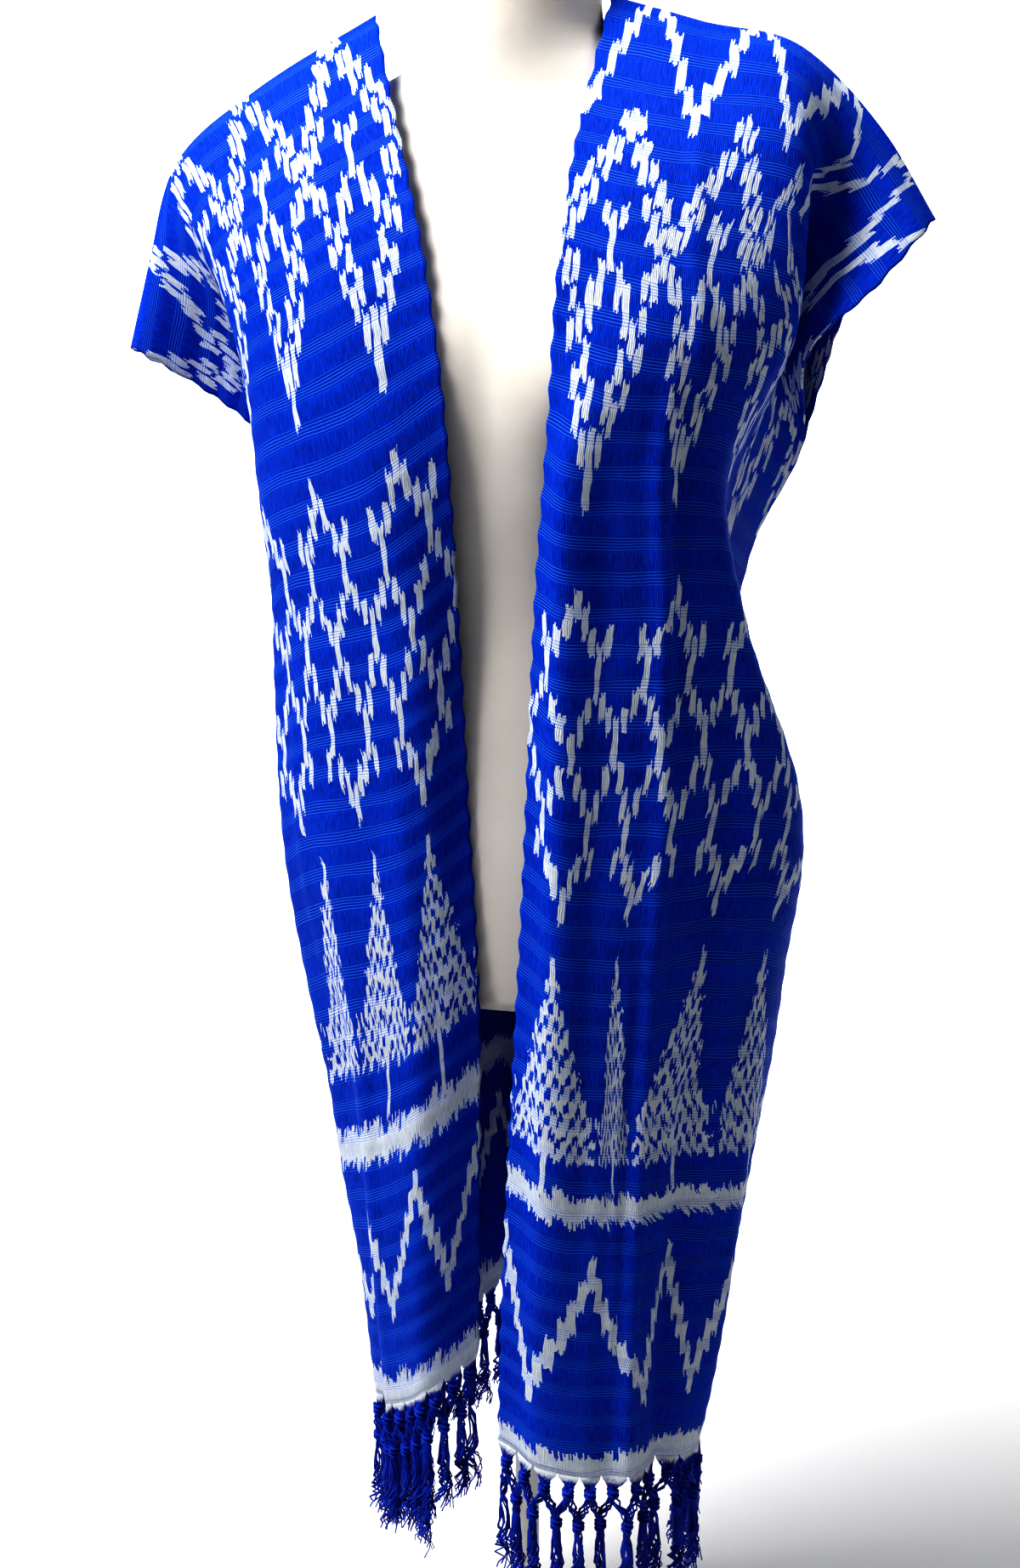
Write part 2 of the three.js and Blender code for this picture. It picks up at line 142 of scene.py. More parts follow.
def finish_piece(piece, material, nodes):
    """Gives a piece its material, hangs it under the root body's empty and hides the imported nodes that
    it stands for.
    """
    piece.data.materials.append(material)
    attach(piece, "root")
    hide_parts(*nodes)
    return piece


def unit(vectors):
    """The same vectors, each one unit long."""
    return vectors / np.maximum(np.linalg.norm(vectors, axis=-1, keepdims=True), 1e-9)


def smoothstep(start, end, x):
    """0 before start and 1 after end, with an even ease between."""
    s = np.clip((x - start) / (end - start), 0, 1)
    return s * s * (3 - 2 * s)


def read_points(place, keys, points):
    """A line of points, read at each place straight between its keys."""
    return np.stack([np.interp(place, keys, points[:, k]) for k in range(3)], axis=-1)


def read_table(columns, rows):
    """A table of rows as one array for each named column."""
    return dict(zip(columns, np.array(rows, float).T))


def read_along(keys, values, x):
    """A cubic through (keys, values), whose slopes come from the neighbours on each side, read
    at x. Past either end the table goes straight on."""
    keys = np.concatenate([[2 * keys[0] - keys[1]], keys, [2 * keys[-1] - keys[-2]]])
    values = np.concatenate([[2 * values[0] - values[1]], values, [2 * values[-1] - values[-2]]])
    i = np.clip(np.searchsorted(keys[1:-1], x), 1, len(keys) - 3)
    x0, x1, x2, x3 = keys[i - 1], keys[i], keys[i + 1], keys[i + 2]
    y0, y1, y2, y3 = values[i - 1], values[i], values[i + 1], values[i + 2]
    span = x2 - x1
    s = (x - x1) / span
    slope1 = (y2 - y0) / (x2 - x0) * span
    slope2 = (y3 - y1) / (x3 - x1) * span
    h = s * s * (3 - 2 * s)
    return y1 + h * (y2 - y1) + s * (1 - s) * ((1 - s) * slope1 - s * slope2)


# ---------------- the two lengths of cloth

# One row for each station along the warp. "warp" is the distance from the shoulder line,
# negative in front. Each row has four places across, from the inner selvage (the edge)
# outwards, as out (away from the middle), fwd (to the front) and up.
STATION_COLUMNS = (
    "warp", "edge_out", "edge_fwd", "edge_up", "chest_out", "chest_fwd", "fold_out", "fold_fwd",
    "fold_up", "dip_out", "dip_fwd",
)
SELVAGE_COLUMNS = ("warp", "out", "fwd", "up")

RIGHT_STATIONS = [
    (-1062, 4, 128, 446, 50, 147, 91, 100, 371, 106, 34),
    (-930, 3, 127, 578, 48, 153, 92, 121, 505, 115, 52),
    (-780, 3, 124, 728, 50, 150, 103, 122, 660, 142, 60),
    (-600, 12, 122, 908, 54, 144, 142, 110, 845, 177, 50),
    (-450, 18, 126, 1058, 56, 141, 146, 106, 995, 184, 50),
    (-330, 25, 130, 1180, 82, 140, 176, 88, 1102, 182, 40),
    (-230, 42, 112, 1274, 120, 122, 190, 80, 1200, 182, 35),
    (-150, 64, 80, 1341, 142, 96, 210, 66, 1260, 196, 24),
    (-75, 88, 40, 1402, 170, 55, 236, 44, 1308, 230, 32),
    (0, 112, -8, 1454, 206, -4, 268, 2, 1353, 277, 38),
    (70, 126, -58, 1410, 172, -66, 232, -44, 1314, 262, -20),
    (143, 92, -92, 1368, 134, -102, 192, -82, 1294, 202, -44),
    (200, 44, -104, 1340, 108, -114, 176, -92, 1240, 190, -48),
    (250, 0.2, -110, 1316, 88, -126, 163, -102, 1190, 186, -52),
    (350, 0.2, -118, 1212, 80, -134, 155, -112, 1108, 188, -70),
    (500, 0.2, -122, 1062, 78, -136, 152, -114, 968, 190, -72),
    (700, 0.2, -134, 860, 76, -152, 144, -126, 773, 174, -84),
    (900, 0.2, -138, 652, 72, -158, 130, -124, 573, 148, -84),
    (1180, 0.2, -136, 368, 66, -152, 112, -114, 304, 120, -80),
]
RIGHT_SELVAGE = [
    (-1180, 98, -36, 232), (-1062, 107, -36, 322), (-930, 125, -30, 448), (-780, 158, -26, 592),
    (-600, 182, -24, 766), (-450, 200, -18, 910), (-330, 200, -16, 1026), (-230, 192, -8, 1112),
    (-150, 198, 28, 1152), (-75, 236, 44, 1186), (0, 284, 66, 1218), (75, 284, -8, 1198),
    (150, 222, -48, 1164), (230, 192, -8, 1112),
]
LEFT_STATIONS = [
    (-1120, 15, 142, 378, 80, 166, 157, 98, 358, 150, 28),
    (-1000, 18, 142, 496, 74, 163, 172, 82, 470, 178, 24),
    (-850, 24, 140, 646, 71, 158, 187, 74, 616, 200, 25),
    (-700, 31, 137, 796, 70, 154, 200, 68, 768, 216, 20),
    (-560, 36, 133, 936, 66, 150, 215, 60, 912, 221, 18),
    (-450, 40, 131, 1046, 65, 146, 183, 78, 1030, 150, 24),
    (-330, 48, 130, 1165, 71, 143, 164, 88, 1145, 160, 34),
    (-230, 50, 112, 1264, 130, 118, 206, 74, 1232, 194, 26),
    (-150, 53, 82, 1338, 125, 92, 212, 64, 1302, 196, 12),
    (-75, 58, 42, 1398, 130, 50, 207, 46, 1370, 222, 14),
    (0, 64, -10, 1462, 129, -4, 198, 2, 1425, 260, 4),
    (50, 53, -50, 1444, 118, -58, 198, -44, 1390, 242, -28),
    (115, 0.2, -86, 1398, 95, -100, 190, -78, 1344, 216, -50),
    (195, 0.2, -106, 1326, 88, -126, 176, -98, 1272, 200, -60),
    (330, 0.2, -118, 1200, 80, -134, 140, -114, 1140, 160, -80),
    (480, 0.2, -122, 1052, 78, -138, 128, -116, 1010, 142, -82),
    (680, 0.2, -134, 852, 80, -158, 148, -134, 800, 186, -92),
    (880, 0.2, -138, 652, 78, -164, 146, -134, 600, 180, -88),
    (1150, 0.2, -136, 382, 72, -158, 130, -122, 336, 150, -76),
]
LEFT_SELVAGE = [
    (-1150, 136, -26, 296), (-1120, 139, -26, 325), (-1000, 162, -26, 438), (-850, 182, -28, 578),
    (-700, 194, -30, 718), (-560, 192, -32, 846), (-450, 162, -34, 956), (-330, 174, -32, 1066),
    (-230, 212, -10, 1150), (-150, 217, 50, 1216), (-75, 264, 46, 1264), (0, 298, 0, 1308),
    (50, 270, -34, 1284), (108, 238, -46, 1244), (170, 224, -36, 1198), (230, 212, -10, 1150),
]

# Lengthwise folds, then finer creases, as across, drift, start, end, width, depth. "Across" is
# the distance from the inner selvage at the fold's top, "drift" is how far it has moved at its
# bottom, "start" and "end" lie along the warp, and a negative depth is a trough.
RIGHT_FOLDS = [
    (206, -8, -300, -820, 15, 5), (238, -6, -300, -900, 18, -9), (128, 4, -560, -1062, 14, 4),
    (164, 2, -600, -1062, 16, -7), (210, 0, -760, -1062, 16, 6), (84, 6, -330, -1062, 26, -4),
    (66, 10, 330, 1180, 20, 9), (118, -10, 300, 1180, 20, -10), (182, 0, 350, 1180, 22, 9),
    (240, 0, 350, 1180, 22, -11),
]
LEFT_FOLDS = [
    (98, 8, -240, -530, 9, 6), (58, 6, -260, -620, 16, -4), (100, 4, -620, -1120, 20, -5),
    (156, 4, -860, -1120, 14, -6), (152, 6, -420, -900, 16, -6), (214, 0, -700, -1120, 20, 7),
    (250, 0, -760, -1120, 18, -9), (26, 14, -300, -1120, 12, 3), (62, 8, 330, 1150, 20, 9),
    (112, -6, 300, 1150, 20, -10), (176, 0, 350, 1150, 22, 10), (236, 0, 350, 1150, 22, -11),
]
RIGHT_CREASES = [
    (150, -14, -40, -330, 9, -2.2), (172, -4, -420, -880, 7, 1.4), (112, 8, -700, -1040, 8, -1.6),
    (52, -6, -480, -900, 10, -1.5), (276, 10, -180, -640, 9, 2), (40, 10, 180, 700, 9, -1.8),
    (150, -6, 460, 1100, 9, -2.2), (214, 8, 240, 820, 8, 1.8), (280, -4, 300, 1000, 10, 2),
]
LEFT_CREASES = [
    (92, 26, -60, -320, 8, 2.2), (122, -10, -300, -560, 7, -2), (60, 12, -560, -980, 9, -1.4),
    (186, -8, -460, -1000, 9, 2.2), (140, 4, -700, -1120, 6, 1.4), (276, 6, -300, -760, 10, -2),
    (30, 12, 200, 760, 9, 1.8), (146, 8, 420, 1100, 8, -2), (206, -8, 260, 900, 9, 2),
    (282, 4, 320, 1000, 10, -1.8), (98, 2, -640, -1110, 5, 2.5),
]
FOLD_EASE = 0.35  # share of a fold's length over which it fades in
SELVAGE_CALM = 30  # a fold fades out this near to a selvage
PUCKER = 0.35  # how far the cloth rises between two bands of ribs
SCALLOP = 1.0  # how far a selvage bows out between two bands of ribs
SCALLOP_REACH = 9
INNER_FREE = 60  # behind the shoulder line, where the inner selvage stops bowing
RIPPLE = 0.4  # height of the small uneven waves all over the cloth
CREASE_BEND = 4  # how far a crease strays to each side
CREASE_EASE = 0.25  # share of a crease's length over which it fades in
CREASE_FADE = 0.7  # share of its length after which it fades out


def station_points(length, warp):
    """The five places across each station: edge, chest, fold, dip and selvage. The two that
    have no height of their own lie midway between their neighbours. Below the sleeves the back
    follows the front's selvage, a step behind it."""
    stations, selvage, side = length["stations"], length["selvage"], length["side"]
    at = {name: read_along(stations["warp"], stations[name], warp) for name in STATION_COLUMNS[1:]}
    behind = warp > SLEEVE_DEPTH
    seam_warp = np.where(behind, -warp, warp)
    seam = {name: read_along(selvage["warp"], selvage[name], seam_warp) for name in SELVAGE_COLUMNS[1:]}
    step = np.where(behind, SEAM_STEP, 0)
    places = [
        (at["edge_out"], at["edge_fwd"], at["edge_up"]),
        (at["chest_out"], at["chest_fwd"], (at["edge_up"] + at["fold_up"]) / 2),
        (at["fold_out"], at["fold_fwd"], at["fold_up"]),
        (at["dip_out"], at["dip_fwd"], (at["fold_up"] + seam["up"]) / 2),
        (seam["out"], seam["fwd"] - step, seam["up"]),
    ]
    return np.stack([np.stack([side * out, -fwd, up], axis=-1) for out, fwd, up in places], axis=1)


def spaced_curves(points, count, samples=240):
    """For each row of points, `count` points spaced evenly by length along the centripetal
    Catmull-Rom curve through them: on each stretch a cubic whose end slopes weigh the
    neighbours by the square roots of their distances."""
    first = 2 * points[:, :1] - points[:, 1:2]
    last = 2 * points[:, -1:] - points[:, -2:-1]
    padded = np.concatenate([first, points, last], axis=1)
    p0, p1, p2, p3 = (padded[:, k:k + points.shape[1] - 1] for k in range(4))
    step = np.sqrt(np.linalg.norm(np.diff(padded, axis=1), axis=-1, keepdims=True))
    d0, d1, d2 = step[:, :-2], step[:, 1:-1], step[:, 2:]
    slope1 = ((p1 - p0) / d0 - (p2 - p0) / (d0 + d1) + (p2 - p1) / d1) * d1
    slope2 = ((p2 - p1) / d1 - (p3 - p1) / (d1 + d2) + (p3 - p2) / d2) * d1
    square = 3 * (p2 - p1) - 2 * slope1 - slope2
    cube = 2 * (p1 - p2) + slope1 + slope2
    rows = np.arange(len(points))[:, None]

    def read(place):
        k = np.minimum(place.astype(int), p1.shape[1] - 1)
        w = (place - k)[..., None]
        bend = square[rows, k] + w * cube[rows, k]
        return p1[rows, k] + w * (slope1[rows, k] + w * bend)

    place = np.broadcast_to(np.linspace(0, points.shape[1] - 1, samples), (len(points), samples))
    run = np.linalg.norm(np.diff(read(place), axis=1), axis=-1)
    run = np.concatenate([np.zeros((len(points), 1)), np.cumsum(run, axis=1)], axis=1)
    run = run / run[:, -1:] + 2 * rows
    wanted = np.linspace(0, 1, count)[None, :] + 2 * rows
    even = np.interp(wanted.ravel(), run.ravel(), place.ravel()).reshape(wanted.shape)
    return read(even)


def grid_normals(grid, side):
    """Unit normals of a grid of points, pointing away from the body."""
    across = np.gradient(grid, axis=1)
    along = np.gradient(grid, axis=0)
    return unit(np.cross(across, along) * side)


def fold_lift(across, warp, folds):
    """How far folds lift the cloth: for each, its depth times a bell across it, eased in from
    its top and calmed near both selvages."""
    calm = smoothstep(0, SELVAGE_CALM, across) * smoothstep(0, SELVAGE_CALM, CLOTH_WIDTH - across)
    lift = np.zeros_like(across)
    for top, drift, start, end, width, depth in folds:
        share = (warp - start) / (end - start)
        away = (across - top - drift * share) / width
        lift += depth * np.exp(-away * away) * smoothstep(0, FOLD_EASE, share)
    return lift * calm


def crease_lift(across, warp, creases):
    """Finer creases: like folds, but each one wanders and dies away before its end."""
    lift = np.zeros_like(across)
    for top, drift, start, end, width, depth in creases:
        share = (warp - start) / (end - start)
        bend = CREASE_BEND * np.sin(5 * share + top)
        away = (across - top - drift * share - bend) / width
        ease = smoothstep(0, CREASE_EASE, share) * smoothstep(1, CREASE_FADE, share)
        lift += depth * np.exp(-away * away) * ease
    return lift


def warp_places(length):
    """Even distances along the warp, from the front hem to the back hem."""
    warp = length["stations"]["warp"]
    return np.linspace(warp[0], warp[-1], WARP_POINTS)


def drape(length):
    """The middle surface of one length, as a function of the distance from the inner selvage
    and the distance along the warp: curves across the stations, lifted by the folds, with the
    cloth puckering between its bands of ribs and its selvages scalloped in step."""
    side = length["side"]
    warp = warp_places(length)
    grid = spaced_curves(station_points(length, warp), ACROSS_POINTS)
    across, along = np.meshgrid(np.linspace(0, CLOTH_WIDTH, ACROSS_POINTS), warp)
    normals = grid_normals(grid, side)
    lift = fold_lift(across, along, length["folds"]) + crease_lift(across, along, length["creases"])
    beat = 2 * np.pi * along / RIB_REPEAT
    lift += PUCKER * np.cos(beat + 0.6 * np.sin(across / 47))
    lift += RIPPLE * np.sin(across / 19 + 0.9 * np.sin(along / 61)) * np.sin(along / 43 + across / 71)
    grid = grid + normals * lift[..., None]
    outwards = unit(np.gradient(grid, axis=1))
    bow = np.exp(-(CLOTH_WIDTH - across) / SCALLOP_REACH) - np.exp(-across / SCALLOP_REACH)
    free = np.where(across < CLOTH_WIDTH / 2, along < INNER_FREE, np.abs(along) < SLEEVE_DEPTH)
    grid = grid + outwards * (SCALLOP * bow * np.cos(beat) * free)[..., None]
    grid[..., 0] = side * np.maximum(side * grid[..., 0], CENTRE_GAP)
    grid[..., 1] -= FORM_AHEAD
    return grid, across, along


def make_length(length, material):
    """One length of cloth as a thin shell on its middle surface."""
    grid, across, along = drape(length)
    faces = grid_faces(*across.shape)
    if length["side"] < 0:
        faces = faces[:, ::-1]
    chart = chart_places(length, across, along)
    weave = np.stack([across, along, np.zeros_like(across)], axis=-1)
    piece = make_mesh(
        "cloth_" + length["name"], grid.reshape(-1, 3) * MM, faces,
        {"weave": weave.reshape(-1, 3), "chart": chart.reshape(-1, 3)},
    )
    wall = piece.modifiers.new("wall", "SOLIDIFY")
    wall.thickness = CLOTH_WALL * MM
    wall.offset = 0
    finish_piece(piece, material, ["length_" + length["name"]])
    return piece, grid


# The ikat chart runs down from the points of the heavy lattice to the hem. Knots give each
# length's own places along the warp for the same places of the chart.
RIGHT_CHART = [
    (-1062, 1062), (-983, 988), (-865, 870), (-852, 848), (-800, 798), (-766, 766), (-610, 614),
    (-582, 587), (-328, 332), (-288, 292), (4, 0), (60, -12), (118, 0), (1180, 1062),
]
LEFT_CHART = [
    (-1120, 1062), (-1062, 988), (-925, 866), (-905, 848), (-868, 800), (-848, 766), (-690, 614),
    (-657, 587), (-424, 332), (-362, 292), (-82, 0), (8, -92), (98, 0), (1150, 1062),
]
# Where the motifs lie across the cloth. Each row is a distance along the warp, then the
# distances from the inner selvage at which the chart's own places across it fall.
CHART_PLACES = (0, 38, 75, 113, 150, 188, 225, 263, 300)
RIGHT_MOTIFS = [
    (-1062, 0, 36, 73, 111, 148, 186, 224, 262, 300), (-880, 0, 34, 69, 106, 146, 184, 222, 260, 300),
    (-768, 0, 40, 66, 95, 124, 150, 195, 240, 290), (-614, 0, 39, 62, 88, 112, 136, 176, 215, 270),
    (-582, 0, 40, 68, 99, 130, 160, 200, 240, 290), (-325, 0, 45, 84, 123, 158, 192, 227, 262, 300),
    (-288, 0, 46, 86, 126, 161, 195, 230, 264, 300), (0, 0, 39, 78, 116, 148, 181, 218, 255, 296),
    (150, 0, 38, 75, 113, 150, 188, 225, 263, 300),
]
LEFT_MOTIFS = [
    (-1120, 0, 33, 84, 138, 160, 184, 220, 255, 292), (-1060, 0, 33, 84, 138, 160, 184, 222, 256, 294),
    (-925, 0, 36, 84, 112, 158, 186, 222, 258, 296), (-880, 0, 38, 82, 96, 112, 150, 188, 226, 270),
    (-800, 0, 38, 80, 90, 100, 140, 178, 206, 244), (-693, 0, 36, 62, 83, 112, 158, 190, 211, 262),
    (-660, 0, 39, 63, 86, 122, 159, 187, 215, 264), (-430, 0, 40, 78, 116, 150, 184, 221, 258, 295),
    (-360, 0, 44, 80, 115, 150, 188, 225, 262, 299), (-220, 0, 42, 84, 118, 150, 184, 215, 250, 295),
    (-147, 0, 41, 86, 122, 150, 162, 171, 228, 290), (-98, 2, 41, 88, 128, 158, 176, 200, 240, 286),
    (-40, 0, 40, 86, 134, 161, 226, 249, 274, 299), (15, 0, 38, 80, 120, 156, 202, 241, 284, 321),
    (100, 0, 38, 75, 113, 150, 188, 225, 263, 300),
]
WING_SLIP = 50  # how far the zigzag hangs lower on the left sleeve


def chart_places(length, across, along):
    """Where each point lies on the ikat chart: its place across and down the chart, each read
    between knots, and whether the shoulder's zigzag is dyed there."""
    warp, place = np.array(length["chart"], float).T
    down = np.interp(along, warp, place)
    rows = np.array(length["motifs"], float)
    knots = [np.interp(along, rows[:, 0], rows[:, k]) for k in range(1, rows.shape[1])]
    over = across - knots[0]
    for k in range(len(knots) - 1):
        width = knots[k + 1] - knots[k]
        wanted = CHART_PLACES[k + 1] - CHART_PLACES[k]
        over += np.clip(across - knots[k], 0, width) * (wanted / width - 1)
    zigzag = smoothstep(60, 70, along)
    if length["side"] > 0:
        zigzag = np.ones_like(across)
        down -= (
            WING_SLIP * smoothstep(155, 180, across) * smoothstep(-60, -140, along)
            * smoothstep(-260, -180, along)
        )
    return np.stack([over, down, zigzag], axis=-1)


LENGTHS = [
    {"name": "right", "side": -1, "stations": read_table(STATION_COLUMNS, RIGHT_STATIONS),
     "selvage": read_table(SELVAGE_COLUMNS, RIGHT_SELVAGE), "folds": RIGHT_FOLDS,
     "creases": RIGHT_CREASES, "chart": RIGHT_CHART, "motifs": RIGHT_MOTIFS},
    {"name": "left", "side": 1, "stations": read_table(STATION_COLUMNS, LEFT_STATIONS),
     "selvage": read_table(SELVAGE_COLUMNS, LEFT_SELVAGE), "folds": LEFT_FOLDS,
     "creases": LEFT_CREASES, "chart": LEFT_CHART, "motifs": LEFT_MOTIFS},
]


# ---------------- fringe

TASSELS = 16
YARNS = 18  # in a tassel
YARN_SIDES = 4
YARN_RADIUS = 0.85
KNOT_DROP = 15  # from the hem to the first row of knots
SECOND_KNOT_DROP = 44
FRINGE_LENGTH = 118
CLOTH_RUN = 7  # yarns and knots follow the cloth this far before they hang plumb
HALF_TASSEL = 0.46  # of a tassel's share of the hem, filled by its warp ends on each side
BUNDLE_RADIUS = 2.6
BUNDLE_BELLY = 1.2  # how far a bundle bulges between its two knots
TWIST = 0.24  # a bundle's turn for each millimetre, in radians
LOOSE_TURN = 8  # where the turn ends in the loose yarns
FLARE = 5.5  # how far the loose ends spread
YARN_WAVE = 1.6  # how far a loose yarn waves to each side
KNOT_TURNS = 2.3
KNOT_POINTS = 26
KNOT_RADIUS = 3.7
KNOT_PITCH = 3.6
KNOT_CORD = 1.5  # radius of what a knot is tied of
YARN_DROPS = (-2, 3, 8, 12, 15, 19, 24, 30, 36, 41, 44, 48, 54, 62, 71, 81, 91, 101, 110, 118)


def tubes(paths, radius, sides):
    """Points and quads of round tubes: each ring lies square to its path, turned to a fixed
    direction. `paths` is tubes by rings by 3, and `radius` fits tubes by rings."""
    tangent = unit(np.gradient(paths, axis=1))
    fixed = np.array([0.31, 0.95, 0.05])
    first = unit(np.cross(tangent, fixed))
    second = np.cross(tangent, first)
    angle = np.linspace(0, 2 * np.pi, sides, endpoint=False)
    ring = first[:, :, None] * np.cos(angle)[:, None] + second[:, :, None] * np.sin(angle)[:, None]
    points = paths[:, :, None] + ring * radius[:, :, None, None]
    count, rings = paths.shape[:2]
    one = grid_faces(rings, sides, wrap=True)
    faces = one[None] + (np.arange(count) * rings * sides)[:, None, None]
    caps = np.arange(sides)[::-1]
    ends = np.stack([caps, caps[::-1] + (rings - 1) * sides])
    ends = ends[None] + (np.arange(count) * rings * sides)[:, None, None]
    return points.reshape(-1, 3), np.concatenate([faces.reshape(-1, 4), ends.reshape(-1, sides)])


def hang(hem, down, place, drop):
    """Points that leave the hem at places along it, run on down the cloth's own slope and from
    there hang plumb."""
    keys = np.arange(len(hem))
    run = np.minimum(drop, CLOTH_RUN)[..., None]
    points = read_points(place, keys, hem) + read_points(place, keys, down) * run
    points[..., 2] -= np.maximum(drop - CLOTH_RUN, 0)
    return points


def fringe_paths(hem, down, rng):
    """The middle lines of a hem's yarns. The warp ends gather into a knot below each tassel's
    share of the hem, each half crosses to meet the next tassel's half in a second knot, and
    then they hang loose, wavy and uneven."""
    drop = np.array(YARN_DROPS, float)
    scale = rng.uniform(0.84, 1.03, (TASSELS, YARNS, 1))
    loose = smoothstep(SECOND_KNOT_DROP, FRINGE_LENGTH, drop)
    drop = np.where(drop > SECOND_KNOT_DROP, SECOND_KNOT_DROP + (drop - SECOND_KNOT_DROP) * scale, drop)
    tassel = np.arange(TASSELS)[:, None, None]
    spread = np.linspace(-HALF_TASSEL, HALF_TASSEL, YARNS)[None, :, None]
    half = np.where(spread < 0, -0.5, 0.5)
    half = np.where((tassel == 0) & (half < 0) | (tassel == TASSELS - 1) & (half > 0), half * 0.3, half)
    gather = smoothstep(0, KNOT_DROP, drop)
    cross = smoothstep(KNOT_DROP + 2, SECOND_KNOT_DROP - 3, drop)
    place = (tassel + 0.5 + spread * (1 - gather) + half * cross) / TASSELS * (len(hem) - 1)
    place = np.clip(place, 0, len(hem) - 1)
    paths = hang(hem, down, place, drop)
    turn = rng.uniform(0, 2 * np.pi, (TASSELS, YARNS, 1)) + drop * TWIST
    between = np.sin(np.pi * smoothstep(KNOT_DROP, SECOND_KNOT_DROP, drop))
    tight = BUNDLE_RADIUS * smoothstep(2, KNOT_DROP, drop) + BUNDLE_BELLY * between
    open_out = tight + FLARE * loose * rng.uniform(0.2, 1, (TASSELS, YARNS, 1))
    wave = YARN_WAVE * loose * np.sin(drop / 7 + rng.uniform(0, 6, (TASSELS, YARNS, 1)))
    last_turn = turn.min(axis=-1, keepdims=True) + LOOSE_TURN
    turn = np.where(loose > 0, turn * (1 - loose) + last_turn * loose, turn)
    paths[..., 0] += open_out * np.cos(turn) + wave
    paths[..., 1] += open_out * np.sin(turn) + wave * 0.6
    drop = np.broadcast_to(drop, paths.shape[:-1])
    return paths.reshape(TASSELS * YARNS, -1, 3), drop.reshape(TASSELS * YARNS, -1)


def knot_paths(hem, down):
    """The middle lines of the knots: each one two and a bit turns round its bundle."""
    turns = np.linspace(0, KNOT_TURNS, KNOT_POINTS)
    places, drops = [], []
    for offset, count, knot_drop in ((0.5, TASSELS, KNOT_DROP), (1.0, TASSELS - 1, SECOND_KNOT_DROP)):
        places.append((np.arange(count) + offset) / TASSELS * (len(hem) - 1))
        drops.append(np.full(count, float(knot_drop)))
    place, drop = np.concatenate(places), np.concatenate(drops)
    centre = hang(hem, down, place, drop)
    angle = 2 * np.pi * turns[None] + place[:, None]
    rise = np.broadcast_to(KNOT_PITCH * (KNOT_TURNS / 2 - turns), angle.shape)
    ring = np.stack([KNOT_RADIUS * np.cos(angle), KNOT_RADIUS * np.sin(angle), rise], axis=-1)
    return centre[:, None] + ring, np.broadcast_to(drop[:, None], angle.shape)


def make_fringe(name, hem, inside, material, seed, node):
    """The knotted fringe of one hem, from the hem's row of points and the row just above it."""
    rng = np.random.default_rng(seed)
    down = unit(hem - inside)
    yarns, yarn_drop = fringe_paths(hem, down, rng)
    knots, knot_drop = knot_paths(hem, down)
    taper = 1 - 0.35 * smoothstep(80, FRINGE_LENGTH, yarn_drop)
    yarn_points, yarn_faces = tubes(yarns, YARN_RADIUS * taper, YARN_SIDES)
    knot_points, knot_faces = tubes(knots, np.full(knot_drop.shape, KNOT_CORD), YARN_SIDES)
    points = np.concatenate([yarn_points, knot_points])
    faces = np.concatenate([yarn_faces, knot_faces + len(yarn_points)])
    drop = np.repeat(np.concatenate([yarn_drop.ravel(), knot_drop.ravel()]), YARN_SIDES)
    piece = make_mesh(name, points * MM, faces, {"drop": drop})
    return finish_piece(piece, material, [node])


# ---------------- sewing

STITCH_PITCH = 5  # from one stitch to the next along a seam
STITCH_REACH = 2.4  # how far a stitch goes into the cloth from its selvage
STITCH_LIFT = 0.75  # how far the thread's middle lies off the middle of the cloth
THREAD_RADIUS = 0.45
NAPE = 262  # the centre back seam starts this far behind the shoulder line
SEAM_SHORT = 4  # a side seam stops this short of the sleeve and of the shorter end


def whip_seam(name, one, other, outward, material):
    """One thread sewn to and fro over two selvages that meet. Each side is a line of points
    on its selvage with the next line of points into the cloth; the thread runs along the
    middle of the two and swings across them as a triangle wave, just outside the cloth."""
    lines = []
    for edge, inner in (one, other):
        run = np.concatenate([[0], np.cumsum(np.linalg.norm(np.diff(edge, axis=0), axis=1))])
        steps = np.linspace(0, run[-1], int(run[-1] / STITCH_PITCH) * 4 + 1)
        reach = edge + unit(inner - edge) * STITCH_REACH
        lines.append(read_points(steps, run, reach))
    count = min(len(line) for line in lines)
    first, second = lines[0][:count], lines[1][:count]
    swing = np.abs((np.arange(count) % 4) / 2 - 1)[:, None]
    path = first * swing + second * (1 - swing)
    path = path + unit(outward(path)) * STITCH_LIFT
    points, faces = tubes(path[None], np.full((1, count), THREAD_RADIUS), YARN_SIDES)
    seam = make_mesh(name, points * MM, faces)
    seam.data.materials.append(material)
    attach(seam, "root")


def make_seams(grids, material):
    """The centre back seam, from the nape to the hem, and a side seam below each sleeve."""
    joined = []
    for length, grid in zip(LENGTHS, grids):
        warp = warp_places(length)
        back = grid[warp > NAPE]
        joined.append((back[:, 0], back[:, 1]))
        shared = min(-warp[0], warp[-1]) - SEAM_SHORT
        front = (warp < -SLEEVE_DEPTH - SEAM_SHORT) & (warp > -shared)
        rear = (warp > SLEEVE_DEPTH + SEAM_SHORT) & (warp < shared)
        sides = [(part[:, -1], part[:, -2]) for part in (grid[front][::-1], grid[rear])]
        whip_seam("seam_" + length["name"], *sides, lambda path: path * (1, 0, 0), material)
    top = min(edge[0, 2] for edge, _ in joined)
    joined = [(edge[edge[:, 2] <= top], inner[edge[:, 2] <= top]) for edge, inner in joined]
    whip_seam("seam_back", *joined, lambda path: path * 0 + (0, 1, 0), material)


# ---------------- dress form and stand

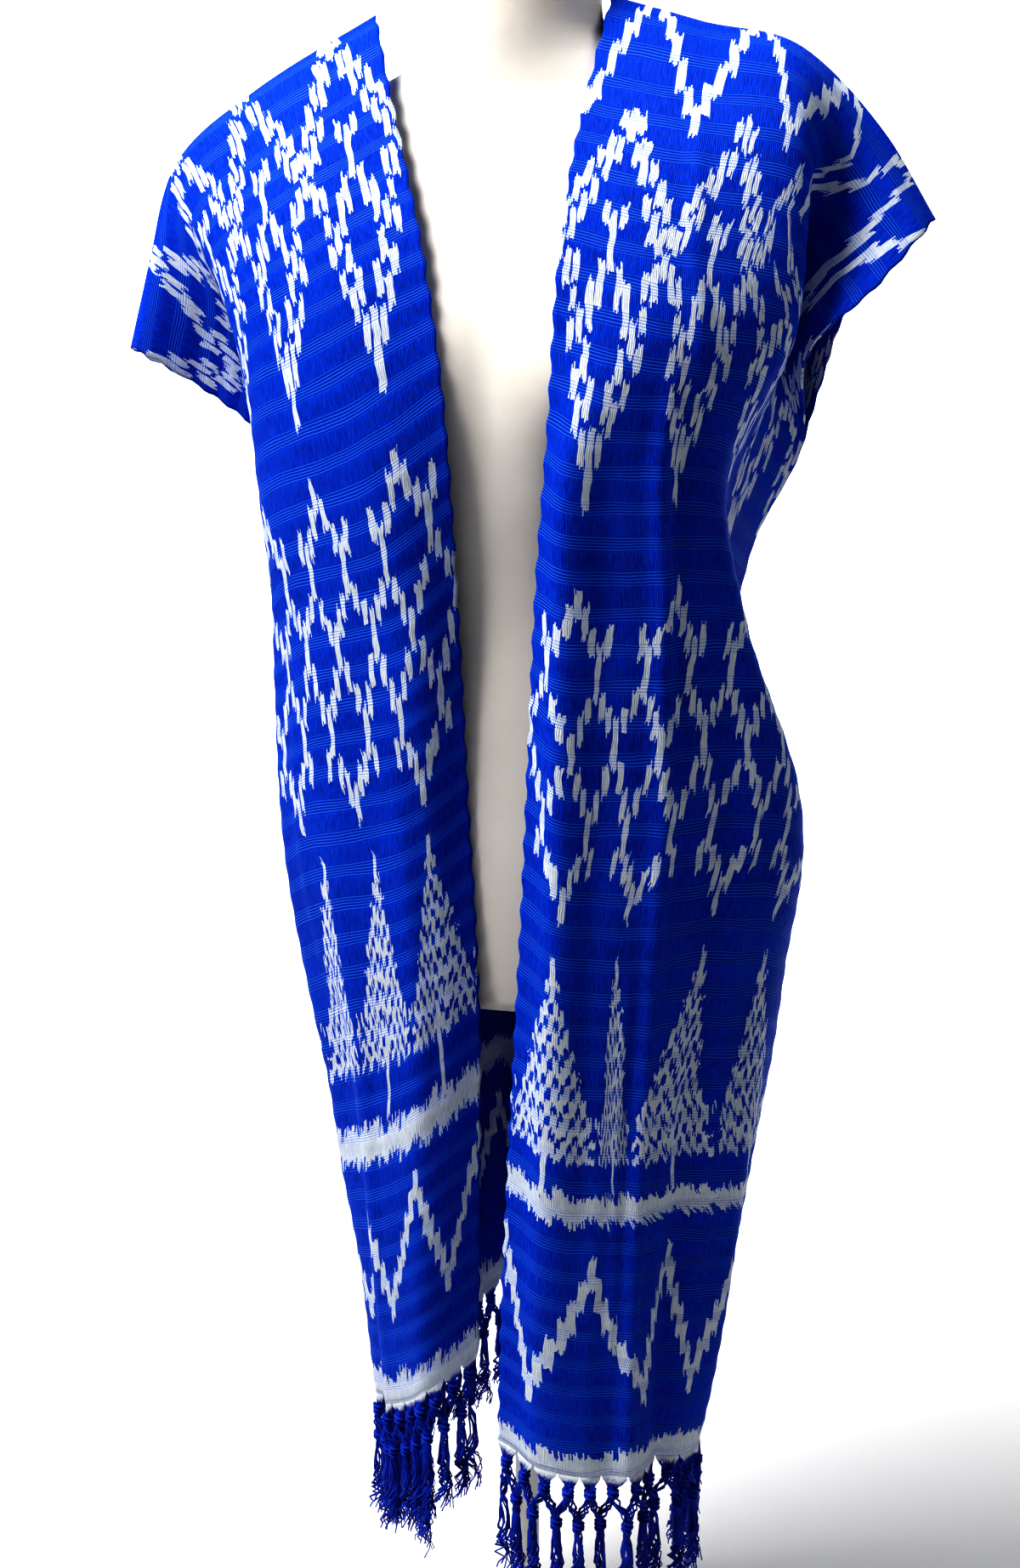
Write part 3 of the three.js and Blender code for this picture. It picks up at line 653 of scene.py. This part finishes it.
FORM_COLUMNS = ("up", "half_width", "front", "back", "middle", "square")
FORM_ROWS = [
    (730, 160, 112, 112, 0, 2.2), (736, 163, 115, 115, 0, 2.2), (800, 172, 118, 124, 0, 2.2),
    (870, 172, 118, 124, 0, 2.2), (950, 152, 115, 108, 0, 2.1), (1040, 128, 110, 92, 0, 2.1),
    (1120, 134, 114, 96, 0, 2.1), (1190, 152, 114, 102, 0, 2.2), (1250, 168, 108, 100, -2, 2.3),
    (1310, 178, 90, 86, -6, 2.3), (1350, 178, 72, 70, -8, 2.2), (1376, 164, 58, 58, -10, 2.1),
    (1394, 136, 50, 52, -12, 2), (1410, 100, 48, 50, -12, 2), (1424, 74, 48, 50, -12, 2),
    (1442, 59, 49, 50, -12, 2), (1480, 56, 50, 50, -12, 2), (1506, 55, 49, 49, -12, 2),
    (1512, 50, 44, 44, -12, 2),
]
BUST = {"out": 78, "up": 1208, "half_width": 58, "half_height": 62, "forward": 20}
FORM_AROUND = 128
FORM_LEVELS = 170
FORM_CURVED = (745, 1500)  # heights between which the table is read as a curve, not straight


def make_form(material):
    """The dress form: level rings whose half widths and depths are read smoothly from the
    table, each a rounded box between an ellipse and a rectangle, with the bust added in front
    as two bells, and flat closed ends."""
    table = read_table(FORM_COLUMNS, FORM_ROWS)
    level = np.linspace(table["up"][0], table["up"][-1], FORM_LEVELS)
    level = np.unique(np.concatenate([level, table["up"]]))
    at = {name: np.interp(level, table["up"], table[name])[:, None] for name in FORM_COLUMNS}
    curved = (level > FORM_CURVED[0]) & (level < FORM_CURVED[1])
    for name in FORM_COLUMNS[1:]:
        at[name][curved, 0] = read_along(table["up"], table[name], level[curved])
    angle = np.linspace(0, 2 * np.pi, FORM_AROUND, endpoint=False)[None]
    bend = lambda value: np.sign(value) * np.abs(value) ** (2 / at["square"])
    x = at["half_width"] * bend(np.cos(angle))
    behind = np.sin(angle) > 0
    y = np.where(behind, at["back"], at["front"]) * bend(np.sin(angle)) - at["middle"]
    across = (np.abs(x) - BUST["out"]) / BUST["half_width"]
    height = (at["up"] - BUST["up"]) / BUST["half_height"]
    bell = BUST["forward"] * np.exp(-across**2 - height**2)
    y = y - np.where(behind, 0, bell) * smoothstep(0, 0.2, -np.sin(angle))
    z = np.broadcast_to(at["up"], x.shape)
    rings = np.stack([x, y - FORM_AHEAD, z], axis=-1)
    return revolve_mesh("form_body", rings, material, "form_torso")


def revolve_mesh(name, rings, material, node):
    """A closed solid through a stack of level rings, its ends fanned flat from their middles."""
    levels, around = rings.shape[:2]
    points = rings.reshape(-1, 3)
    ends = np.stack([rings[0].mean(axis=0), rings[-1].mean(axis=0)])
    sides = grid_faces(levels, around, wrap=True)
    i = np.arange(around)
    after = (i + 1) % around
    low = np.stack([np.full(around, len(points)), after, i], axis=-1)
    top_start = (levels - 1) * around
    high = np.stack([np.full(around, len(points) + 1), top_start + i, top_start + after], axis=-1)
    piece = make_mesh(name, np.concatenate([points, ends]) * MM, [sides, np.concatenate([low, high])])
    smooth = np.concatenate([np.full(len(sides), True), np.full(2 * around, False)])
    piece.data.polygons.foreach_set("use_smooth", smooth)
    return finish_piece(piece, material, [node])


def turned(name, profile, material, node, around=96):
    """A turned piece: its profile of (radius, height) carried round the upright axis."""
    radius, up = np.array(profile, float).T
    angle = np.linspace(0, 2 * np.pi, around, endpoint=False)
    x, y = radius[:, None] * np.cos(angle), radius[:, None] * np.sin(angle)
    rings = np.stack(np.broadcast_arrays(x, y, up[:, None]), axis=-1)
    return revolve_mesh(name, rings, material, node)


def rounded(corners, radius, steps=5):
    """A profile whose corners are rounded by quarter-circle-like curves of one radius."""
    corners = np.array(corners, float)
    made = [corners[0]]
    for before, corner, after in zip(corners[:-2], corners[1:-1], corners[2:]):
        reach = min(radius, np.linalg.norm(before - corner) / 2, np.linalg.norm(after - corner) / 2)
        start = corner + unit(before - corner) * reach
        end = corner + unit(after - corner) * reach
        share = np.linspace(0, 1, steps)[:, None]
        made.extend((1 - share) ** 2 * start + 2 * share * (1 - share) * corner + share**2 * end)
    made.append(corners[-1])
    return made


def make_stand(material):
    """The collar under the form, the pole, and the round base with its hub."""
    collar = [(4, 721.7), (32, 721.7), (32, 729.7), (4, 729.7)]
    turned("stand_collar", rounded(collar, 1.5), material, "form_collar")
    pole = [(3, 46.3), (11, 46.3), (11, 721.4), (3, 721.4)]
    turned("stand_tube", rounded(pole, 1.2), material, "stand_pole")
    base = [(4, 0), (133, 0), (135, 2), (135, 9), (132, 12), (28, 15), (20, 23), (20, 46), (4, 46)]
    turned("stand_foot", rounded(base, 3), material, "stand_base")


# ---------------- materials

class Graph:
    """Adds nodes to a tree by plain calls. Inputs may be numbers or other nodes' outputs."""

    def __init__(self, tree):
        self.tree = tree

    def node(self, kind, inputs=None, **settings):
        made = self.tree.nodes.new(kind)
        for key, value in settings.items():
            setattr(made, key, value)
        for key, value in (inputs or {}).items():
            self.plug(made.inputs[key], value)
        return made

    def plug(self, socket, value):
        if isinstance(value, bpy.types.NodeSocket):
            self.tree.links.new(value, socket)
        else:
            socket.default_value = value

    def math(self, operation, *values):
        return self.node("ShaderNodeMath", dict(enumerate(values)), operation=operation).outputs[0]

    def add(self, a, b):
        return self.math("ADD", a, b)

    def times(self, a, b):
        return self.math("MULTIPLY", a, b)

    def less(self, a, b):
        return self.math("LESS_THAN", a, b)

    def more(self, a, b):
        return self.math("GREATER_THAN", a, b)

    def centred(self, value):
        """A value from 0 to 1, moved to lie from -0.5 to 0.5."""
        return self.add(value, -0.5)

    def vector(self, x, y, z=0.0):
        return self.node("ShaderNodeCombineXYZ", {0: x, 1: y, 2: z}).outputs[0]

    def chance(self, number):
        """A steady random value from 0 to 1 for each whole number."""
        return self.node("ShaderNodeTexWhiteNoise", {"W": number}, noise_dimensions="1D").outputs["Value"]

    def noise(self, where, scale, detail=2.0, roughness=0.5):
        inputs = {"Vector": where, "Scale": scale, "Detail": detail, "Roughness": roughness}
        return self.node("ShaderNodeTexNoise", inputs).outputs["Fac"]

    def dress(self, shader, colour, rough, height, strength, distance):
        """Plugs a shader's colour and roughness, and a bump made from a height."""
        inputs = {"Height": height, "Strength": strength, "Distance": distance}
        bump = self.node("ShaderNodeBump", inputs)
        self.plug(shader.inputs["Base Color"], colour)
        self.plug(shader.inputs["Roughness"], rough)
        self.plug(shader.inputs["Normal"], bump.outputs["Normal"])

    def own_place(self):
        """The piece's own coordinates."""
        return self.node("ShaderNodeTexCoord").outputs["Object"]

    def mix(self, share, a, b):
        """From colour a at 0 to colour b at 1."""
        made = self.node("ShaderNodeMix", {0: share}, data_type="RGBA")
        self.plug(made.inputs[6], a)
        self.plug(made.inputs[7], b)
        return made.outputs[2]

    def attribute(self, name):
        return self.node("ShaderNodeAttribute", attribute_name=name, attribute_type="GEOMETRY")

    def parts(self, vector):
        return self.node("ShaderNodeSeparateXYZ", {0: vector}).outputs


def new_group(name, inputs, outputs):
    """An empty shader node group, its graph, its inputs and its outputs. All of them are
    numbers, but for an input called Where, which is a place."""
    tree = bpy.data.node_groups.new(name, "ShaderNodeTree")
    for in_out, keys in (("INPUT", inputs), ("OUTPUT", outputs)):
        for key in keys:
            kind = "NodeSocketVector" if key == "Where" else "NodeSocketFloat"
            tree.interface.new_socket(key, in_out=in_out, socket_type=kind)
    graph = Graph(tree)
    return tree, graph, graph.node("NodeGroupInput").outputs, graph.node("NodeGroupOutput").inputs


def place_group(graph, tree, inputs):
    """A node group placed in a material, with its own values."""
    node = graph.tree.nodes.new("ShaderNodeGroup")
    node.node_tree = tree
    for key, value in inputs.items():
        graph.plug(node.inputs[key], value)
    return node.outputs


def new_material(name):
    """A material, its graph and its Principled shader."""
    material = bpy.data.materials.new(name)
    material.use_nodes = True
    graph = Graph(material.node_tree)
    return material, graph, material.node_tree.nodes["Principled BSDF"]


# The two lattices of the chart, one row of (from, to) stretches for each column, counted from
# a motif's middle column outwards to the middle of the gap between two motifs.
LATTICE_COLUMNS = [
    [(0, 30), (88, 134), (238, 294), (332, 354), (440, 472), (560, 589)],
    [(6, 22), (30, 50), (80, 100), (128, 160), (206, 232), (240, 268), (344, 368), (426, 448),
     (468, 490), (546, 572)],
    [(28, 66), (142, 178), (184, 208), (222, 246), (362, 384), (414, 434), (482, 504), (536, 558)],
    [(44, 62), (70, 91), (166, 190), (206, 226), (376, 418), (500, 538)],
    [(56, 78), (84, 106), (130, 150), (156, 172), (180, 200), (362, 386), (410, 430), (484, 508),
     (532, 552)],
    [(72, 90), (96, 118), (124, 150), (422, 442), (466, 490)],
    [(92, 112), (116, 136), (432, 474)],
]
LATTICE_START = -20
LATTICE_END = 600
LATTICE_DEPTH = LATTICE_END - LATTICE_START
REPEAT = 75  # from one motif to the next
MIDDLE = 38  # the first motif's middle, from the inner selvage
COLUMN = REPEAT / 12
TWIG = REPEAT / 18  # the trees are dyed in narrower columns
TREE_ROW = 21  # from one row of a tree's branches to the next
TREE_TOP = 614.0  # down the chart; what follows lies below it
TREE_STEP = 17.0  # how much lower each further column of a tree starts
TREE_TIP = 20.0  # a tree is undyed all through above this
TREE_SMEAR = (124.0, 9.0)  # middle and half height of a blot over its lowest branches
TREE_FOOT = 156.0
TRUNK = (130.0, 196.0)
WHITE_BAND = (812.0, 838.0)  # down the chart, as the hem is
WHITE_HEM = 1038.0
ZIGZAG_LINE = 12.5  # half of a zigzag's height on one thread
# How much lower a zigzag lies at each further column, and where it lies at a motif's middle.
SHOULDER_ZIGZAG = (18.5, -102.0)
HEM_ZIGZAG = (-15.5, 974.0)
THREAD = 0.95  # width of one warp thread in the chart
WARP_PITCH = 1.5  # from one crinkled warp thread to the next in the weave
RIB_SHARE = 0.48  # of each repeat, taken up by its band of ribs
WEFT_PITCH = 2.1  # from one raised weft to the next in a band of ribs


def chart_group():
    """The ikat chart as a mask: 1 on undyed warp. Each row of motifs is stepped in columns,
    and every warp thread is shifted a little along itself, which feathers the edges."""
    tree, g, given, out = new_group("ikat_chart", ["Across", "Down", "Zigzag"], ["Undyed"])
    across, down = given["Across"], given["Down"]
    where = g.vector(across, down)
    sway = g.centred(g.noise(where, 0.035, 1.0))
    across = g.add(across, g.times(sway, 5.0))
    thread = g.math("FLOOR", g.times(across, 1 / THREAD))
    bundle = g.math("FLOOR", g.times(across, 1 / (3 * THREAD)))
    hair = g.centred(g.chance(thread))
    lock = g.centred(g.chance(g.add(bundle, 700.5)))
    from_middle = g.add(across, -MIDDLE)
    columns = g.times(from_middle, 1 / COLUMN)
    place = g.math("ROUND", columns)
    column = g.math("PINGPONG", place, 6.0)
    aside = g.math("ABSOLUTE", g.math("SUBTRACT", columns, place))
    blot = g.centred(g.noise(g.vector(g.times(across, 0.3), g.times(down, 0.06)), 1.0, 1.0))
    stroke = g.less(aside, g.add(g.times(blot, 0.7), 0.42))
    slip = g.centred(g.chance(g.add(place, 300.5)))
    wander = g.centred(g.noise(g.vector(place, g.times(down, 0.02)), 1.0, 0.0))
    loose = g.add(g.times(hair, 5.5), g.times(lock, 4.5))
    y = g.add(g.add(down, loose), g.add(g.times(slip, 5.0), g.times(wander, 8.0)))

    def inside(value, low, high):
        return g.times(g.more(value, low), g.less(value, high))

    def near(value, centre, half):
        return g.less(g.math("ABSOLUTE", g.math("SUBTRACT", value, centre)), half)

    def zigzag(slope, start):
        return near(y, g.add(g.times(column, slope), start), ZIGZAG_LINE)

    lattice = None
    share = g.times(g.add(y, -LATTICE_START), 1 / LATTICE_DEPTH)
    for k, stretches in enumerate(LATTICE_COLUMNS):
        ramp = g.node("ShaderNodeValToRGB", {0: share})
        ramp.color_ramp.interpolation = "CONSTANT"
        stops = ramp.color_ramp.elements
        stops[0].position, stops[0].color = 0, (0, 0, 0, 1)
        stops.remove(stops[1])
        for start, end in stretches:
            for position, value in ((start, 1), (end, 0)):
                stop = stops.new((position - LATTICE_START) / LATTICE_DEPTH)
                stop.color = (value, value, value, 1)
        here = g.math("COMPARE", column, float(k), 0.5)
        dyed = g.times(ramp.outputs[0], here)
        lattice = dyed if lattice is None else g.add(lattice, dyed)

    shoulder = g.times(zigzag(*SHOULDER_ZIGZAG), given["Zigzag"])
    twig = g.math("ROUND", g.times(from_middle, 1 / TWIG))
    branch = g.math("PINGPONG", twig, REPEAT / TWIG / 2)
    tree_down = g.add(y, -TREE_TOP)
    row = g.add(g.times(tree_down, 1 / TREE_ROW), g.times(branch, 0.5))
    row = g.add(row, g.times(g.centred(g.chance(g.add(twig, 90.5))), 0.25))
    full = g.less(tree_down, TREE_TIP)
    dash = g.less(g.math("FRACT", row), g.add(g.times(blot, 0.5), 0.62))
    trees = inside(tree_down, g.times(branch, TREE_STEP), TREE_FOOT)
    trees = g.times(trees, g.math("MAXIMUM", dash, full))
    smear = g.times(near(tree_down, *TREE_SMEAR), g.more(blot, 0.07))
    trees = g.math("MAXIMUM", trees, smear)
    trunk = g.times(g.less(branch, 0.5), inside(tree_down, *TRUNK))
    ragged = g.add(g.add(down, g.times(hair, 9.0)), g.add(g.times(lock, 9.0), g.times(sway, 22.0)))
    band = inside(ragged, *WHITE_BAND)
    hem = g.more(ragged, WHITE_HEM)
    mask = g.times(lattice, stroke)
    for motif in (shoulder, trees, trunk, band, zigzag(*HEM_ZIGZAG), hem):
        mask = g.math("MAXIMUM", mask, motif)
    g.plug(out["Undyed"], mask)
    return tree


def weave_group():
    """The hand weave: warp threads that crinkle between bands of five or six raised wefts. It
    puts out the height; a mask of the raised wefts; a mask of the grooves between them, where
    the cloth gets painted shade; a streak that is high on the crinkles' raised parts and each
    thread's crown and low in their dips, which the cloth uses as painted light and shade on its
    relief; and the dots where the wefts show between the warps."""
    outputs = ["Height", "Wefts", "StreakShading", "Dots", "GrooveShade"]
    tree, g, given, out = new_group("hand_weave", ["Across", "Along"], outputs)
    across, along = given["Across"], given["Along"]
    wobble = g.centred(g.noise(g.vector(g.times(across, 0.25), g.times(along, 0.09)), 1.0, 2.0))
    drift = g.centred(g.noise(g.vector(g.times(across, 0.02), g.times(along, 0.04)), 1.0, 1.0))
    woven = g.add(along, g.times(drift, 5.0))
    beat = g.math("FRACT", g.times(woven, 1 / RIB_REPEAT))
    band_end = g.times(g.math("SUBTRACT", RIB_SHARE, beat), 12.0)
    band = g.math("SMOOTH_MIN", band_end, g.times(beat, 16.0), 0.3)
    band = g.math("MINIMUM", g.math("MAXIMUM", band, 0.0), 1.0)
    weft_wave = g.math("SINE", g.times(woven, 2 * math.pi / WEFT_PITCH))
    weft = g.math("MULTIPLY_ADD", weft_wave, 1.4, 0.1)
    weft.node.use_clamp = True
    thread = g.math("SINE", g.times(g.add(across, g.times(wobble, 2.2)), 2 * math.pi / WARP_PITCH))
    spun = g.times(g.add(across, g.times(wobble, 2.5)), 0.55)
    crinkle = g.noise(g.vector(spun, g.times(along, 0.10)), 1.0, 3.0, 0.6)
    plain = g.math("SUBTRACT", 1.0, band)
    ribs = g.times(weft, g.times(band, 0.8))
    threads = g.times(g.times(thread, 0.30), g.add(g.times(plain, 0.8), 0.2))
    crinkles = g.times(g.times(crinkle, 1.1), g.add(g.times(plain, 0.85), 0.15))
    slant = g.math("SINE", g.times(g.add(g.times(across, 1 / 1.3), g.times(along, 1 / 3.5)), 2 * math.pi))
    g.plug(out["Height"], g.add(g.add(ribs, threads), crinkles))
    g.plug(out["Wefts"], g.times(weft, band))
    # The grooves between the raised wefts: the mask for painted shade in the ribs.
    g.plug(out["GrooveShade"], g.times(g.math("SUBTRACT", 1.0, weft), band))
    # The streak follows the height: lighter on the crinkles' raised parts and each thread's crown, darker
    # in the dips. The cloth's colour reads it as painted light and painted shade.
    g.plug(out["StreakShading"], g.add(g.times(crinkle, 0.8), g.times(g.add(thread, 1.0), 0.1)))
    low = g.times(band, g.less(weft_wave, -0.1))
    g.plug(out["Dots"], g.times(g.more(slant, 0.1), low))
    return tree


def mottle_group():
    """Soft uneven colour and a fine grain, from the piece's own coordinates."""
    tree, g, given, out = new_group("mottle", ["Where", "Patch", "Grain"], ["Cloud", "Fine"])
    g.plug(out["Cloud"], g.noise(given["Where"], given["Patch"], 5.0, 0.62))
    g.plug(out["Fine"], g.noise(given["Where"], given["Grain"], 3.0, 0.6))
    return tree


# The blues run from DEEP_BLUE to BRIGHT_BLUE, partly as random tone and partly as painted shade and
# painted light along the weave's relief; DEEP_BLUE is also the painted shade in the grooves, and
# BRIGHT_BLUE the weft dots' own colour. UNDYED_SHADE is the painted shade of the undyed threads.
DEEP_BLUE = (0.0025, 0.024, 0.33, 1)
BRIGHT_BLUE = (0.006, 0.075, 0.66, 1)
WEFT_BLUE = (0.040, 0.18, 0.82, 1)
UNDYED = (0.76, 0.81, 0.88, 1)
UNDYED_SHADE = (0.48, 0.57, 0.75, 1)
# From the darker to the lighter of what mottles each of the other pieces.
YARN_BLUES = (0.002, 0.018, 0.26, 1), (0.005, 0.06, 0.62, 1)
THREAD_BLUES = (0.004, 0.04, 0.40, 1), (0.03, 0.15, 0.75, 1)
FORM_CREAMS = (0.80, 0.75, 0.69, 1), (0.88, 0.86, 0.82, 1)
PAINT_WHITES = (0.70, 0.69, 0.66, 1), (0.82, 0.81, 0.78, 1)


def cloth_material(chart, weave):
    """Warp ikat on royal blue: dyed and undyed threads, lighter wefts in the ribs, blue dots where
    the wefts show through the undyed parts. The weave's relief is painted in as well: painted
    light on its raised parts, painted shade in its dips and in the grooves between the wefts."""
    material, g, shader = new_material("ikat_cotton")
    flat = g.parts(g.attribute("weave").outputs["Vector"])
    place = g.parts(g.attribute("chart").outputs["Vector"])
    woven = place_group(g, weave, {"Across": flat[0], "Along": flat[1]})
    dyed = place_group(g, chart, {"Across": place[0], "Down": place[1], "Zigzag": place[2]})
    patch = g.noise(g.vector(flat[0], flat[1]), 0.012, 3.0, 0.6)
    # The blue's tone: painted light and painted shade from the streak, which follows the weave's relief,
    # plus tone that differs at random in broad patches.
    tone = g.math("MULTIPLY_ADD", g.add(woven["StreakShading"], -0.42), 2.6, g.times(patch, 0.9))
    tone.node.use_clamp = True
    blue = g.mix(tone, DEEP_BLUE, BRIGHT_BLUE)
    # Painted shade: the grooves between the raised wefts are darkened towards the deep blue.
    blue = g.mix(g.times(woven["GrooveShade"], 0.7), blue, DEEP_BLUE)
    blue = g.mix(g.times(woven["Wefts"], 0.75), blue, WEFT_BLUE)
    # Undyed threads: painted shade in the dips of the weave's relief and painted light on its raised
    # parts.
    white = g.mix(g.math("MULTIPLY_ADD", woven["StreakShading"], 2.4, -0.5), UNDYED_SHADE, UNDYED)
    white = g.mix(g.times(woven["Dots"], 0.75), white, BRIGHT_BLUE)
    rough = g.math("MULTIPLY_ADD", woven["StreakShading"], -0.18, 0.74)
    g.dress(shader, g.mix(dyed["Undyed"], blue, white), rough, woven["Height"], 0.75, 0.0006)
    shader.inputs["Specular IOR Level"].default_value = 0.12
    shader.inputs["Specular Tint"].default_value = (0.25, 0.5, 1.0, 1)
    shader.inputs["Sheen Weight"].default_value = 0.04
    shader.inputs["Sheen Roughness"].default_value = 0.4
    shader.inputs["Sheen Tint"].default_value = (0.1, 0.35, 1.0, 1)
    return material


def fringe_material():
    """Loose blue yarn, undyed for the first few millimetres below the hem."""
    material, g, shader = new_material("fringe_yarn")
    drop = g.attribute("drop").outputs["Fac"]
    where = g.own_place()
    cloud = g.noise(where, 90.0, 3.0)
    fibre = g.noise(where, 900.0, 2.0)
    blue = g.mix(g.math("MULTIPLY_ADD", cloud, 2.0, -0.5), *YARN_BLUES)
    end = g.add(drop, g.times(g.add(cloud, -0.5), 14.0))
    fade = g.node("ShaderNodeMapRange", {0: end, 1: 3.0, 2: 7.0}).outputs[0]
    rough = g.math("MULTIPLY_ADD", fibre, 0.3, 0.5)
    g.dress(shader, g.mix(fade, UNDYED, blue), rough, fibre, 0.5, 0.0004)
    shader.inputs["Specular IOR Level"].default_value = 0.3
    return material


def thread_material():
    """Blue sewing thread, with the twist of its plies."""
    material, g, shader = new_material("sewing_thread")
    where = g.own_place()
    cloud = g.noise(where, 160.0, 2.0)
    ply = g.noise(where, 1500.0, 2.0)
    rough = g.math("MULTIPLY_ADD", ply, 0.3, 0.45)
    g.dress(shader, g.mix(cloud, *THREAD_BLUES), rough, ply, 0.4, 0.0003)
    return material


def form_material(mottle):
    """Matt cream with faint warm clouds and a fine plaster grain."""
    material, g, shader = new_material("form_cream")
    where = g.own_place()
    worn = place_group(g, mottle, {"Where": where, "Patch": 9.0, "Grain": 420.0})
    cloud = g.math("MULTIPLY_ADD", worn["Cloud"], 2.2, -0.6)
    rough = g.math("MULTIPLY_ADD", worn["Fine"], 0.2, 0.5)
    g.dress(shader, g.mix(cloud, *FORM_CREAMS), rough, worn["Fine"], 0.25, 0.0004)
    return material


def stand_material(mottle):
    """Satin off-white paint on steel, a little uneven."""
    material, g, shader = new_material("stand_paint")
    where = g.own_place()
    worn = place_group(g, mottle, {"Where": where, "Patch": 14.0, "Grain": 260.0})
    rough = g.math("MULTIPLY_ADD", worn["Fine"], 0.15, 0.28)
    g.dress(shader, g.mix(worn["Cloud"], *PAINT_WHITES), rough, worn["Fine"], 0.12, 0.0003)
    shader.inputs["Coat Weight"].default_value = 0.2
    return material


def make_stage():
    """A pale floor that sweeps up into a wall far behind."""
    x = np.linspace(-9, 9, 3)
    turn = np.linspace(0, np.pi / 2, 16)
    y = np.concatenate([[-7.0], 5 + 2 * np.sin(turn), [7.0]])
    z = np.concatenate([[0.0], 2 - 2 * np.cos(turn), [9.0]])
    grid = np.stack(np.broadcast_arrays(x[None], y[:, None], z[:, None]), axis=-1)
    floor = make_mesh("floor", grid.reshape(-1, 3), grid_faces(len(y), len(x)))
    material, _, shader = new_material("pale_floor")
    shader.inputs["Base Color"].default_value = (0.72, 0.72, 0.72, 1)
    shader.inputs["Roughness"].default_value = 0.9
    shader.inputs["Specular IOR Level"].default_value = 0.1
    floor.data.materials.append(material)


# ---------------- making everything

make_camera()
make_lights()
make_stage()
bpy.context.scene.view_settings.view_transform = "Standard"
bpy.context.scene.view_settings.look = "Very High Contrast"

chart, weave, mottle = chart_group(), weave_group(), mottle_group()
cotton = cloth_material(chart, weave)
yarn = fringe_material()
grids = []
for k, length in enumerate(LENGTHS):
    name = length["name"]
    cloth, grid = make_length(length, cotton)
    grids.append(grid)
    front = make_fringe(f"fringe_{name}_front", grid[0], grid[1], yarn, 10 + k, f"fringe_front_{name}")
    back = make_fringe(f"fringe_{name}_back", grid[-1], grid[-2], yarn, 20 + k, f"fringe_back_{name}")
make_seams(grids, thread_material())
make_form(form_material(mottle))
make_stand(stand_material(mottle))
